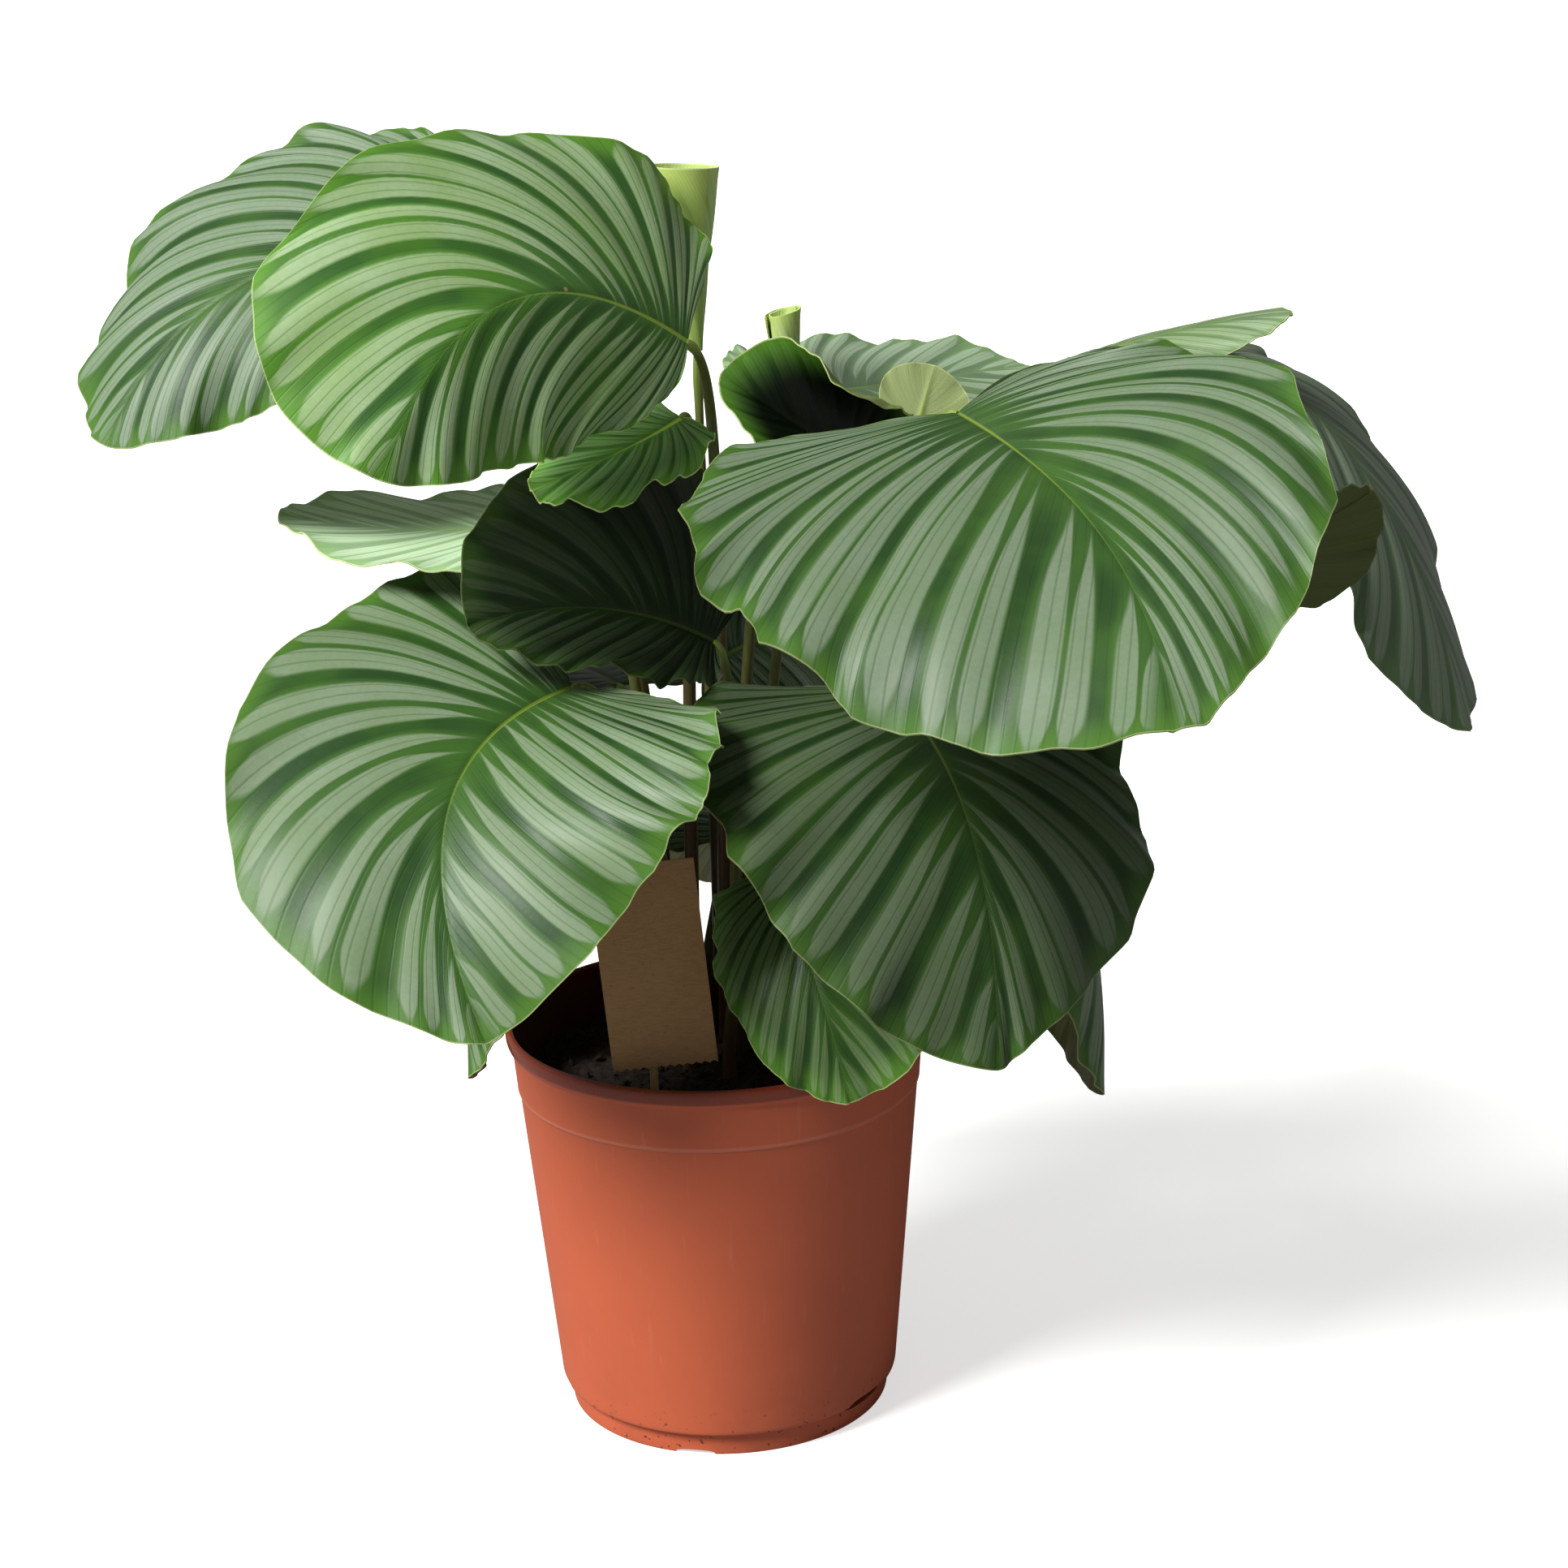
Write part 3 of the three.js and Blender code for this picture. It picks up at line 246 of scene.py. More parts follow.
# The stems. Each stands STEM_DEPTH deep in the soil, is straight up to STEM_NECK, and bends from there: it
# is first drawn to RISE_SHARE of its rise. At its blade it ends a little ahead of the midrib's base and
# below it.
STEM_DEPTH = 18
STEM_NECK = SOIL_TOP + SOIL_MOUND + 3
RISE_SHARE = 0.55
STEM_AHEAD = 0.5
STEM_BELOW = 1.1
STEM_SIDES = 16

# The photo's camera: place, how far it looks down, how far it is rolled, and its lens for a 36 mm sensor.
# The main light comes from KEY_FROM. The floor reaches FLOOR_HALF metres to each side.
CAMERA_PLACE = (0.037, -1.451, 0.746)
CAMERA_DOWN = 16.44
CAMERA_ROLL = -1.78
CAMERA_LENS = 71.46
KEY_FROM = (-2.3, -1.6, 2.7)
FLOOR_HALF = 30


# Shapes

def unit(rows):
    """Each vector of an array, divided by its length."""
    return rows / np.linalg.norm(rows, axis=-1, keepdims=True)


def smooth(t):
    """An even start and stop: three squares less two cubes of t, held between 0 and 1."""
    t = np.clip(t, 0, 1)
    return t * t * (3 - 2 * t)


def along(value, a):
    """A value at the shares a of the midrib: one number, or values at base, middle and tip, eased between."""
    if np.isscalar(value):
        return np.full_like(a, value, dtype=float)
    first = value[0] + (value[1] - value[0]) * smooth(2 * a)
    return np.where(a < 0.5, first, value[1] + (value[2] - value[1]) * smooth(2 * a - 1))


def midrib_of(leaf, steps=80):
    """A parabola through base, mid and tip. Its up direction starts from face at the middle and turns with
    the curve but never about it, so it keeps one angle to the parabola's own plane."""
    base, mid, tip = (np.array(leaf[key]) * MM for key in ("base", "mid", "tip"))
    pull = 2 * mid - (base + tip) / 2
    t = np.linspace(0, 1, steps + 1)[:, None]
    points = (1 - t) ** 2 * base + 2 * t * (1 - t) * pull + t**2 * tip
    forward = unit((1 - t) * (pull - base) + t * (tip - pull))
    side = unit(np.cross(forward[0], forward[-1]))
    inner = np.cross(side, forward)
    face = np.array(leaf["face"])
    turn = math.atan2(side @ face, inner[steps // 2] @ face)
    up = math.cos(turn) * inner + math.sin(turn) * side
    steps_long = np.linalg.norm(np.diff(points, axis=0), axis=1)
    return points, forward, up, np.concatenate([[0], np.cumsum(steps_long)])


def midrib_at(rib, a):
    """The midrib's point and its forward, up and right directions at the shares a of its length. Before the
    base it runs straight back."""
    points, forward, up, reach = rib
    d = np.clip(a, 0, 1) * reach[-1]

    def between(rows):
        return np.stack([np.interp(d, reach, rows[:, k]) for k in range(3)], -1)

    f = unit(between(forward))
    u = between(up)
    u = unit(u - (u * f).sum(-1, keepdims=True) * f)
    p = between(points) + f * (np.minimum(a, 0) * reach[-1])[..., None]
    return p, f, u, np.cross(f, u)


def flat_half(leaf, side, u, s, ragged):
    """One half of the flat leaf: where the point s (0 midrib, 1 edge) of vein u (0 base, 1 tip) lies along
    and across the midrib, in midrib lengths. The outline is a sine that fills out towards the tip, with
    lobes behind the base. Most veins start near the base, leave the midrib steeply and bend to the tip on
    a parabola. The last ones are nearly straight. ragged is how much the outline strays at the edge."""
    turn = np.pi * u
    sine = np.maximum(np.sin(turn), 0)
    edge_across = leaf["half"][side] * sine ** (0.7 + 0.55 * u)
    if leaf["nip"][side]:
        place, depth, width = leaf["nip"][side]
        edge_across = edge_across * (1 - depth * np.exp(-(((u - place) / width) ** 2)))
    lobes = 0.8 * leaf["lobe"][side] * sine * (1 + np.cos(turn))
    edge_along = 0.5 - 0.5 * np.cos(turn) - lobes - leaf["sweep"][side] * edge_across
    edge_across = edge_across * (1 + ragged)
    slow, fast, ahead, aside = leaf["veins"]
    root = 0.55 * u**slow + 0.45 * u**fast
    late = smooth((u - 0.55) / 0.45)
    pull_along, pull_across = ahead + (0.5 - ahead) * late, aside + (0.5 - aside) * late
    r = 1 - s
    a = r * r * root + 2 * s * r * (root + (edge_along - root) * pull_along) + s * s * edge_along
    return a, (2 * s * r * pull_across + s * s) * edge_across


def stray(seed, turns, height, u):
    """A few sine waves of seeded phase added up, each a little faster and lower than the last."""
    phases = np.random.default_rng(seed).uniform(0, TAU, len(turns))
    return sum(height / (k + 1) * np.sin(TAU * n * u + p) for k, (n, p) in enumerate(zip(turns, phases)))


def half_blade(leaf, rib, side, u, s, look, seed):
    """One half of the grown leaf: points and upward directions. The flat half is raised at the midrib by
    fold and rolled about it by curl, as an arc of even bend. Slow waves grow to the edge, small ones lie
    only there, and pleats follow the veins. A calm leaf has lower small waves, pleats and scallops."""
    calm = leaf["calm"]
    ragged = stray(seed + side, RAGGED_WAVES, look.ragged_edge * calm, u)
    ragged = ragged + look.scallop * calm * (0.5 - np.abs(np.sin(np.pi * look.scallops * u)))
    a, across = flat_half(leaf, side, u, s, ragged)
    p, f, up, right = midrib_at(rib, a)
    fold = np.radians(along(leaf["fold"][side], a))
    curl = np.radians(along(leaf["curl"][side], a))
    curl = np.where(np.abs(curl) < 1e-4, 1e-4, curl)
    half = leaf["half"][side]
    angle = fold + curl * across / half
    radius = half * rib[3][-1] / curl
    out = radius * (np.sin(angle) - np.sin(fold))
    rise = radius * (np.cos(fold) - np.cos(angle))
    hand = -1 if side == 0 else 1
    normal = np.cos(angle)[..., None] * up - hand * np.sin(angle)[..., None] * right
    height, count, start = leaf["wave"]
    phase = TAU * count * u + start
    slow = np.sin(phase + 2.1 * side) + 0.3 * np.sin(2.3 * phase + side)
    ends = np.sqrt(np.maximum(np.sin(np.pi * u), 0))
    lift = height * MM * s**2.2 * ends * slow
    lift = lift + look.ruffle * calm * s**5 * ends * stray(seed + 5 + side, RUFFLE_WAVES, 1.0, u)
    valley = (0.5 + 0.5 * np.cos(TAU * look.pairs * u)) ** 2
    lift = lift - look.pleat * calm * valley * ends * smooth(s / 0.25) * (1 + smooth((s - 0.6) / 0.4))
    groove = np.exp(-((across * rib[3][-1] / (GROOVE_WIDTH * MM)) ** 2)) * (1 - 0.7 * np.clip(a, 0, 1))
    lift = lift - look.groove * groove
    point = p + (hand * out)[..., None] * right + rise[..., None] * up + lift[..., None] * normal
    return point, normal, a


def put_object(name, data):
    """An object at the origin that holds the data."""
    thing = bpy.data.objects.new(name, data)
    bpy.context.scene.collection.objects.link(thing)
    return thing


def put_mesh(name, points, faces, marks=None, sharp=40):
    """A mesh object at the origin from points, faces of four corners and marks, one number a point. A face
    that names a corner twice in a row becomes a triangle, or is dropped where it has two such corners.
    Points that no face uses are dropped."""
    again = faces == np.roll(faces, 1, axis=1)
    quads = faces[~again.any(axis=1)]
    bent = again.sum(axis=1) == 1
    threes = faces[bent][~again[bent]].reshape(-1, 3)
    used = np.unique(np.concatenate([quads.ravel(), threes.ravel()]))
    place = np.zeros(len(points), dtype=int)
    place[used] = np.arange(len(used))
    mesh = bpy.data.meshes.new(name)
    mesh.from_pydata(points[used].tolist(), [], place[quads].tolist() + place[threes].tolist())
    for key, values in (marks or {}).items():
        layer = mesh.attributes.new(key, "FLOAT", "POINT")
        layer.data.foreach_set("value", np.asarray(values, dtype=np.float32).ravel()[used])
    if mesh.validate():
        raise RuntimeError(name + " has faces that Blender had to repair")
    mesh.polygons.foreach_set("use_smooth", [True] * len(mesh.polygons))
    mesh.set_sharp_from_angle(angle=math.radians(sharp))
    return put_object(name, mesh)


def inside_box(points):
    """The points, held inside the box of the part's solids."""
    return np.clip(points, CAD_BOX[0], CAD_BOX[1])


def quads_of(*corners):
    """Four arrays of corner numbers as rows of quads."""
    return np.stack([c.ravel() for c in corners], 1)


def closed_sheet(name, upper, lower, marks, poles):
    """A closed thin body from two grids of points. The lower grid's faces are turned over, and strips of
    quads join the borders. With poles, the first and the last row are single points."""
    rows, columns = upper.shape[:2]
    top = np.arange(rows * columns).reshape(rows, columns)
    if poles:
        top[0], top[-1] = top[0, 0], top[-1, 0]
    under = top + rows * columns
    faces = [
        quads_of(top[:-1, :-1], top[:-1, 1:], top[1:, 1:], top[1:, :-1]),
        quads_of(under[:-1, :-1], under[1:, :-1], under[1:, 1:], under[:-1, 1:]),
        quads_of(top[:-1, 0], top[1:, 0], under[1:, 0], under[:-1, 0]),
        quads_of(top[:-1, -1], under[:-1, -1], under[1:, -1], top[1:, -1]),
    ]
    if not poles:
        faces.append(quads_of(top[0, :-1], under[0, :-1], under[0, 1:], top[0, 1:]))
        faces.append(quads_of(top[-1, :-1], top[-1, 1:], under[-1, 1:], under[-1, :-1]))
    points = np.concatenate([upper.reshape(-1, 3), lower.reshape(-1, 3)])
    both = {key: np.tile(values.ravel(), 2) for key, values in marks.items()}
    both["under"] = np.repeat([0.0, 1.0], rows * columns)
    return put_mesh(name, inside_box(points), np.concatenate(faces), both)


def vein_lengths(points):
    """How far each point of a row lies, along the row, from its middle column and from its nearer end."""
    steps = np.linalg.norm(np.diff(points, axis=1), axis=2)
    run = np.concatenate([np.zeros((len(points), 1)), np.cumsum(steps, axis=1)], axis=1)
    middle = run[:, [run.shape[1] // 2]]
    return np.abs(run - middle), np.minimum(run, run[:, -1:] - run)


def make_blade(leaf, look, seed):
    """A blade: both halves side by side over a grid of veins and places along them, and its underside below
    by the thickness, with a keel under the midrib."""
    rib = midrib_of(leaf)
    u = np.linspace(0, 1, look.veins + 1)
    s = np.linspace(0, 1, look.steps + 1) ** GRID_CROWDING
    uu, ss = np.meshgrid(u, s, indexing="ij")
    left, left_up, left_a = half_blade(leaf, rib, 0, uu, ss, look, seed)
    right, right_up, right_a = half_blade(leaf, rib, 1, uu, ss, look, seed)
    upper = np.concatenate([left[:, :0:-1], right], axis=1)
    normal = np.concatenate([left_up[:, :0:-1], right_up], axis=1)
    a = np.concatenate([left_a[:, :0:-1], right_a], axis=1)
    out = np.concatenate([-ss[:, :0:-1], ss], axis=1)
    vein = np.repeat(u[:, None], out.shape[1], axis=1)
    from_rib, to_edge = vein_lengths(upper)
    keel = np.exp(-((from_rib / (KEEL_WIDTH * MM)) ** 2)) * (1 - 0.6 * vein)
    thick = look.thickness + (KEEL_THICK * MM - look.thickness) * keel * leaf["calm"]
    lower = upper - normal * thick[..., None]
    even = np.ones_like(vein)
    # inner, edge and below are painted light and shade: how bright the upper side, its edge and the underside
    # are drawn
    inner, edge, below, yellow, silver = leaf["finish"]
    near_edge = smooth(1 - to_edge / (leaf["edge_band"] * MM))
    marks = {
        "vein": vein, "out": out, "along": np.clip(a, 0, 1), "from_rib": from_rib, "to_edge": to_edge,
        "seed": even * seed, "tone_and_painted_light": inner + (edge - inner) * near_edge,
        "below": even * below, "yellow": even * yellow, "silver": even * silver,
    }
    return closed_sheet("blade_" + leaf["name"], upper, lower, marks, True)


def make_roll(roll, seed):
    """A rolled leaf: rows of a spiral about a slanting axis, wider towards the mouth, which is tipped."""
    h, w = np.meshgrid(*(np.linspace(0, 1, count) for count in ROLL_GRID), indexing="ij")
    base, top = np.array(roll["base"]), np.array(roll["top"])
    radius = roll["base_radius"] + (roll["top_radius"] - roll["base_radius"]) * h ** roll["flare"]
    turn = TAU * roll["turns"] * w
    angle = math.radians(roll["start"]) + turn
    centre = base + h[..., None] * (top - base)
    centre[..., 2] += roll["slant"] * h * h * np.cos(turn)
    outward = np.stack([np.cos(angle), np.sin(angle), np.zeros_like(angle)], -1)
    pleat = ROLL_PLEAT * np.cos(TAU * (7 * w + 2.2 * h)) * smooth(h / 0.3)
    r = radius - ROLL_GAP * roll["turns"] * (1 - w) + pleat
    upper = (centre + outward * r[..., None]) * MM
    lower = (centre + outward * (r - ROLL_THICK)[..., None]) * MM
    even = np.ones_like(h)
    # The rolls' even brightness is their tone, carried in the mark that holds the leaves' painted light
    marks = {"vein": w + 0.3 * h, "out": h, "along": h, "from_rib": even, "seed": even * seed,
             "to_edge": (1 - h) * ROLL_LENGTH * MM, "tone_and_painted_light": even * ROLL_BRIGHT,
             "below": even * ROLL_BRIGHT, "yellow": even * ROLL_YELLOW, "silver": even}
    return closed_sheet("roll_" + roll["name"], upper, lower, marks, False)


def tube(name, path, radii, sides):
    """A round rod along a path: rings square to the path, carried along it without twist, with flat ends."""
    forward = unit(np.gradient(path, axis=0))
    across = np.array([1.0, 0.0, 0.0])
    rings = []
    for f in forward:
        across = unit(across - (across @ f) * f)
        rings.append(np.stack([across, np.cross(f, across)]))
    rings = np.array(rings)
    turn = TAU * np.arange(sides) / sides
    spoke = np.cos(turn)[None, :, None] * rings[:, None, 0] + np.sin(turn)[None, :, None] * rings[:, None, 1]
    shell = path[:, None] + radii[:, None, None] * spoke
    points = np.concatenate([shell.reshape(-1, 3), path[:1], path[-1:]])
    n = len(path)
    grid = np.arange(n * sides).reshape(n, sides)
    ring = np.roll(grid, -1, axis=1)
    foot, head = np.full(sides, n * sides), np.full(sides, n * sides + 1)
    faces = [quads_of(grid[:-1], ring[:-1], ring[1:], grid[1:]), quads_of(ring[0], grid[0], foot, foot),
             quads_of(grid[-1], ring[-1], head, head)]
    share = np.concatenate([np.repeat(np.linspace(0, 1, n), sides), [0, 1]])
    return put_mesh(name, points, np.concatenate(faces), {"share": share})


def stem_path(foot, rise, lean, end, forward, reach, steps=48):
    """Straight up out of the soil, then a cubic bend that ends along the blade's midrib."""
    bottom = np.array([*foot, SOIL_TOP - STEM_DEPTH]) * MM
    neck = np.array([*foot, STEM_NECK]) * MM
    one = neck + np.array([*lean, RISE_SHARE * rise]) * MM
    two = end - forward * reach
    t = np.linspace(0, 1, steps + 1)[:, None]
    bend = (1 - t) ** 3 * neck + 3 * (1 - t) ** 2 * t * one + 3 * (1 - t) * t * t * two + t**3 * end
    return np.concatenate([bottom[None], (bottom[None] + neck) / 2, bend])


def stem_radii(count, look):
    """Thick at the soil, slim above, with a slight swelling just below the blade, drawn in where it joins."""
    t = np.linspace(0, 1, count)
    slim = look.root_radius + (look.neck_radius - look.root_radius) * t
    swelling = look.swelling * np.exp(-(((t - 0.93) / 0.05) ** 2))
    return slim * (1 - 0.2 * smooth((t - 0.97) / 0.03)) + swelling


def make_stem(holder, end, forward, join, look):
    """The stem of a leaf or roll, which ends there and joins it over a length."""
    path = stem_path(holder["foot"], holder["rise"], holder["lean"], end, forward, join)
    return tube("petiole_" + holder["name"], path, stem_radii(len(path), look), STEM_SIDES)


def uneven(x, y, size, seed):
    """Ground that is uneven over a length: seeded heights on a square grid, eased between its corners."""
    heights = np.random.default_rng(seed).uniform(-1, 1, (128, 128))
    gx, gy = x / size + 50.3, y / size + 50.7
    i, j = np.floor(gx).astype(int), np.floor(gy).astype(int)
    a, b = smooth(gx - i), smooth(gy - j)
    i, j = i % 127, j % 127
    low = heights[i, j] * (1 - a) + heights[i + 1, j] * a
    high = heights[i, j + 1] * (1 - a) + heights[i + 1, j + 1] * a
    return low * (1 - b) + high * b


def soil_height(x, y, lumps):
    """How far the soil's top lies above its edge, in millimetres: a low mound with lumps of three sizes."""
    away = np.hypot(x, y)
    mound = SOIL_MOUND * (1 - away / SOIL_EDGE)
    rough = sum(share * uneven(x, y, size, seed) for share, size, seed in LUMP_SIZES)
    return mound + lumps * rough * smooth((SOIL_EDGE - away) / 3 + 0.3)


def make_crumbs(name, look, seed):
    """Loose crumbs: two poles and two rings of six points, each crumb stretched and sheared its own way by a
    random matrix near the unit matrix, and half sunk into the soil."""
    rng = np.random.default_rng(seed)
    count = look.crumbs
    tilt = np.radians([-90, -28, 28, 90])[:, None]
    turn = TAU * (np.arange(6) + np.array([[0], [0.5], [0], [0]])) / 6
    ball = np.stack([np.cos(tilt) * np.cos(turn), np.cos(tilt) * np.sin(turn), np.sin(tilt) + 0 * turn], -1)
    shear = np.eye(3) + rng.normal(0, CRUMB_SHEAR, (count, 3, 3))
    shear[np.linalg.det(shear) < 0.3] = np.eye(3)
    size = look.crumb_size / MM * rng.uniform(0.45, 1.0, count) ** 2 * rng.choice([1.0, 1.0, 1.7], count)
    away = (SOIL_EDGE - 3) * np.sqrt(rng.uniform(0, 1, count))
    round_it = rng.uniform(0, TAU, count)
    x, y = away * np.cos(round_it), away * np.sin(round_it)
    z = SOIL_TOP + soil_height(x, y, look.lumps / MM) + 0.25 * size
    shapes = np.einsum("nij,vj->nvi", shear, ball.reshape(-1, 3)) * size[:, None, None]
    points = shapes + np.stack([x, y, z], -1)[:, None]
    grid = np.arange(24).reshape(4, 6)
    grid[0], grid[-1] = grid[0, 0], grid[-1, 0]
    ring = np.roll(grid, -1, axis=1)
    one = quads_of(grid[:-1], ring[:-1], ring[1:], grid[1:])
    faces = (one[None] + 24 * np.arange(count)[:, None, None]).reshape(-1, 4)
    return put_mesh(name, points.reshape(-1, 3) * MM, faces, sharp=70)


def rounded(outline, radius, steps=4):
    """A closed outline with each corner off the axis replaced by a parabola that starts and ends radius away
    from it, or at two fifths of the shorter edge."""
    before, after = np.roll(outline, 1, axis=0), np.roll(outline, -1, axis=0)
    to_before, to_after = before - outline, after - outline
    long_before = np.linalg.norm(to_before, axis=1, keepdims=True)
    long_after = np.linalg.norm(to_after, axis=1, keepdims=True)
    cut = np.minimum(radius, 0.4 * np.minimum(long_before, long_after)) * (outline[:, :1] > 0)
    start, end = outline + to_before / long_before * cut, outline + to_after / long_after * cut
    t = np.linspace(0, 1, steps)[None, :, None]
    curve = (1 - t) ** 2 * start[:, None] + 2 * t * (1 - t) * outline[:, None] + t**2 * end[:, None]
    curve = curve.reshape(-1, 2)
    return curve[np.linalg.norm(curve - np.roll(curve, 1, axis=0), axis=1) > 1e-6]


def closer(outline, longest):
    """The outline with even extra points wherever two of its points are further apart than longest."""
    ends = np.roll(outline, -1, axis=0)
    parts = [np.linspace(a, b, max(1, math.ceil(np.linalg.norm(b - a) / longest)), endpoint=False)
             for a, b in zip(outline, ends)]
    return np.concatenate(parts)


def turned(name, outline, sides, height=None):
    """A body turned about Z from a closed outline of radius and height, listed anticlockwise. height, if
    given, is what is added to the height at x, y and z."""
    turn = TAU * np.arange(sides) / sides
    x = outline[:, :1] * np.cos(turn)
    y = outline[:, :1] * np.sin(turn)
    z = np.repeat(outline[:, 1:], sides, axis=1)
    if height is not None:
        z = z + height(x, y, z)
    points = np.stack([x, y, z], -1).reshape(-1, 3)
    n = len(outline)
    grid = np.arange(n * sides).reshape(n, sides)
    on_axis = outline[:, 0] < 1e-6
    grid[on_axis] = grid[on_axis][:, :1]
    ring = np.roll(grid, -1, axis=1)
    faces = quads_of(grid, ring, np.roll(ring, -1, axis=0), np.roll(grid, -1, axis=0))
    return put_mesh(name, points * MM, faces)


def prisms(name, angles, radius, outline, depth):
    """Cutters: one outline of across and height, carried outward over depth at each angle round the pot."""
    n = len(outline)
    points, faces = [], []
    for k, angle in enumerate(angles):
        out = np.array([math.cos(angle), math.sin(angle)])
        side = np.array([-out[1], out[0]])
        for r in (radius - depth / 2, radius + depth / 2):
            flat = r * out + outline[:, :1] * side
            points.append(np.concatenate([flat, outline[:, 1:]], axis=1))
        start = 2 * n * k
        ring = np.arange(n)
        after = np.roll(ring, -1)
        faces += [(start + ring[::-1]).tolist(), (start + n + ring).tolist()]
        faces += np.stack([start + ring, start + after, start + n + after, start + n + ring], 1).tolist()
    mesh = bpy.data.meshes.new(name)
    mesh.from_pydata((np.concatenate(points) * MM).tolist(), [], faces)
    return put_object(name, mesh)


def cut_away(thing, cutter):
    """The thing less the cutter, with the cut made part of its mesh and the cutter removed."""
    cut = thing.modifiers.new("openings", "BOOLEAN")
    cut.operation = "DIFFERENCE"
    cut.solver = "EXACT"
    cut.object = cutter
    graph = bpy.context.evaluated_depsgraph_get()
    made = bpy.data.meshes.new_from_object(thing.evaluated_get(graph))
    thing.modifiers.clear()
    thing.data = made
    bpy.data.objects.remove(cutter)


# Materials

FLOAT = "NodeSocketFloat"
LEAF_MARKS = ("vein", "out", "along", "from_rib", "to_edge", "seed", "tone_and_painted_light", "below", "yellow", "silver",
              "under")
LEAF_TINT = "c3d84e"
VEINS_A_PAIR = 7.0

# The silver bands. BAND_DRIFT is how far they stray. The next five are the least value and how much a pair
# may add by chance: where its silver starts and ends from the midrib (0) to the edge (1), half the width of
# the broad and of the thin gap, and where the thin gap lies in the pair. The last two are how much half the
# width of a gap gains where the silver starts and where it ends.
BAND_DRIFT = 0.14
BAND_START = (-0.01, 0.07)
BAND_END = (0.955, 0.04)
BROAD_GAP = (0.12, 0.05)
THIN_GAP = (0.014, 0.04)
THIN_PLACE = (0.47, 0.06)
BROAD_GAIN = (0.16, 0.12)
THIN_GAIN = (0.12, 0.08)

# Heights in metres between which the pot's look changes: the painted shade inside the pot begins above
# the floor, the fine line on the collar's ridge begins and ends, and the glossier rim roll with its painted
# shade begins
INSIDE_SHADE_FROM = (0.0128, 0.0132)
LINE_FROM = (0.1676, 0.1682)
LINE_TO = (0.1698, 0.1706)
RIM_GLOSS_AND_SHADE_FROM = (0.1925, 0.1945)


def linear(shade):
    """A colour given as six hexadecimal digits, as linear light with full alpha."""
    parts = [int(shade[k:k + 2], 16) / 255 for k in (0, 2, 4)]
    return [((c + 0.055) / 1.055) ** 2.4 if c > 0.04045 else c / 12.92 for c in parts] + [1.0]


class Plan:
    """Short calls for laying out the nodes of one tree. Values may be numbers, colours or other nodes'
    sockets. shader is the main shader where the tree is a material's."""

    def __init__(self, tree, shader=None):
        self.tree = tree
        self.shader = shader

    def add(self, kind, inputs=(), **settings):
        node = self.tree.nodes.new(kind)
        for key, value in settings.items():
            setattr(node, key, value)
        for key, value in dict(inputs).items():
            self.put(value, node.inputs[key])
        return node

    def put(self, value, socket):
        if isinstance(value, bpy.types.NodeSocket):
            self.tree.links.new(value, socket)
        else:
            socket.default_value = value

    def math(self, operation, *values):
        return self.add("ShaderNodeMath", dict(enumerate(values)), operation=operation).outputs[0]

    def total(self, *values):
        return functools.reduce(lambda a, b: self.math("ADD", a, b), values)

    def product(self, *values):
        return functools.reduce(lambda a, b: self.math("MULTIPLY", a, b), values)

    def weighed(self, base, *terms):
        """A base plus values that each count by a weight."""
        return self.total(base, *(self.product(value, weight) for value, weight in terms))

    def drawn(self, chance, least, more):
        """A value from least to least plus more, by a chance from 0 to 1."""
        return self.weighed(least, (chance, more))

    def apart(self, first, second):
        """How far apart two values are."""
        return self.math("ABSOLUTE", self.math("SUBTRACT", first, second))

    def step(self, value, start, end, low=0.0, high=1.0):
        """Goes smoothly from low to high while value goes from start to end."""
        inputs = {"Value": value, "From Min": start, "From Max": end, "To Min": low, "To Max": high}
        return self.add("ShaderNodeMapRange", inputs, interpolation_type="SMOOTHSTEP").outputs[0]

    def fade(self, value, start, end):
        """Goes smoothly from 1 to 0 while value goes from start to end."""
        return self.step(value, start, end, 1.0, 0.0)

    def blend(self, share, first, second, mode="MIX"):
        node = self.add("ShaderNodeMix", {0: share, 6: first, 7: second}, data_type="RGBA", blend_type=mode)
        return node.outputs[2]

    def coats(self, colour, *layers):
        """A colour with others laid over it in turn, each with its share."""
        for share, shade in layers:
            colour = self.blend(share, colour, linear(shade) if isinstance(shade, str) else shade)
        return colour

    def tint(self, share, colour, shade):
        """A colour that is partly multiplied by a shade."""
        return self.blend(share, colour, self.blend(1.0, colour, linear(shade), "MULTIPLY"))

    def noise(self, vector, scale, detail=2.0, rough=0.5):
        inputs = {"Vector": vector, "Scale": scale, "Detail": detail, "Roughness": rough}
        return self.add("ShaderNodeTexNoise", inputs, noise_dimensions="3D").outputs[0]

    def grain(self, scale, detail, turn=(0.0, 0.0, 0.0)):
        """Noise that is drawn out along the axis with the lowest scale."""
        inputs = {"Vector": self.place(), "Rotation": turn, "Scale": scale}
        return self.noise(self.add("ShaderNodeMapping", inputs).outputs[0], 1.0, detail)

    def point(self, x, y, z=0.0):
        return self.add("ShaderNodeCombineXYZ", {0: x, 1: y, 2: z}).outputs[0]

    def mark(self, key):
        return self.add("ShaderNodeAttribute", attribute_name=key).outputs["Fac"]

    def place(self):
        return self.add("ShaderNodeTexCoord").outputs["Object"]

    def surface(self, colour, rough, height, strength, depth):
        """Joins the colour, the roughness and a fine relief to the main shader."""
        relief = self.add("ShaderNodeBump", {"Height": height, "Strength": strength, "Distance": depth})
        self.put(colour, self.shader.inputs["Base Color"])
        self.put(rough, self.shader.inputs["Roughness"])
        self.put(relief.outputs[0], self.shader.inputs["Normal"])


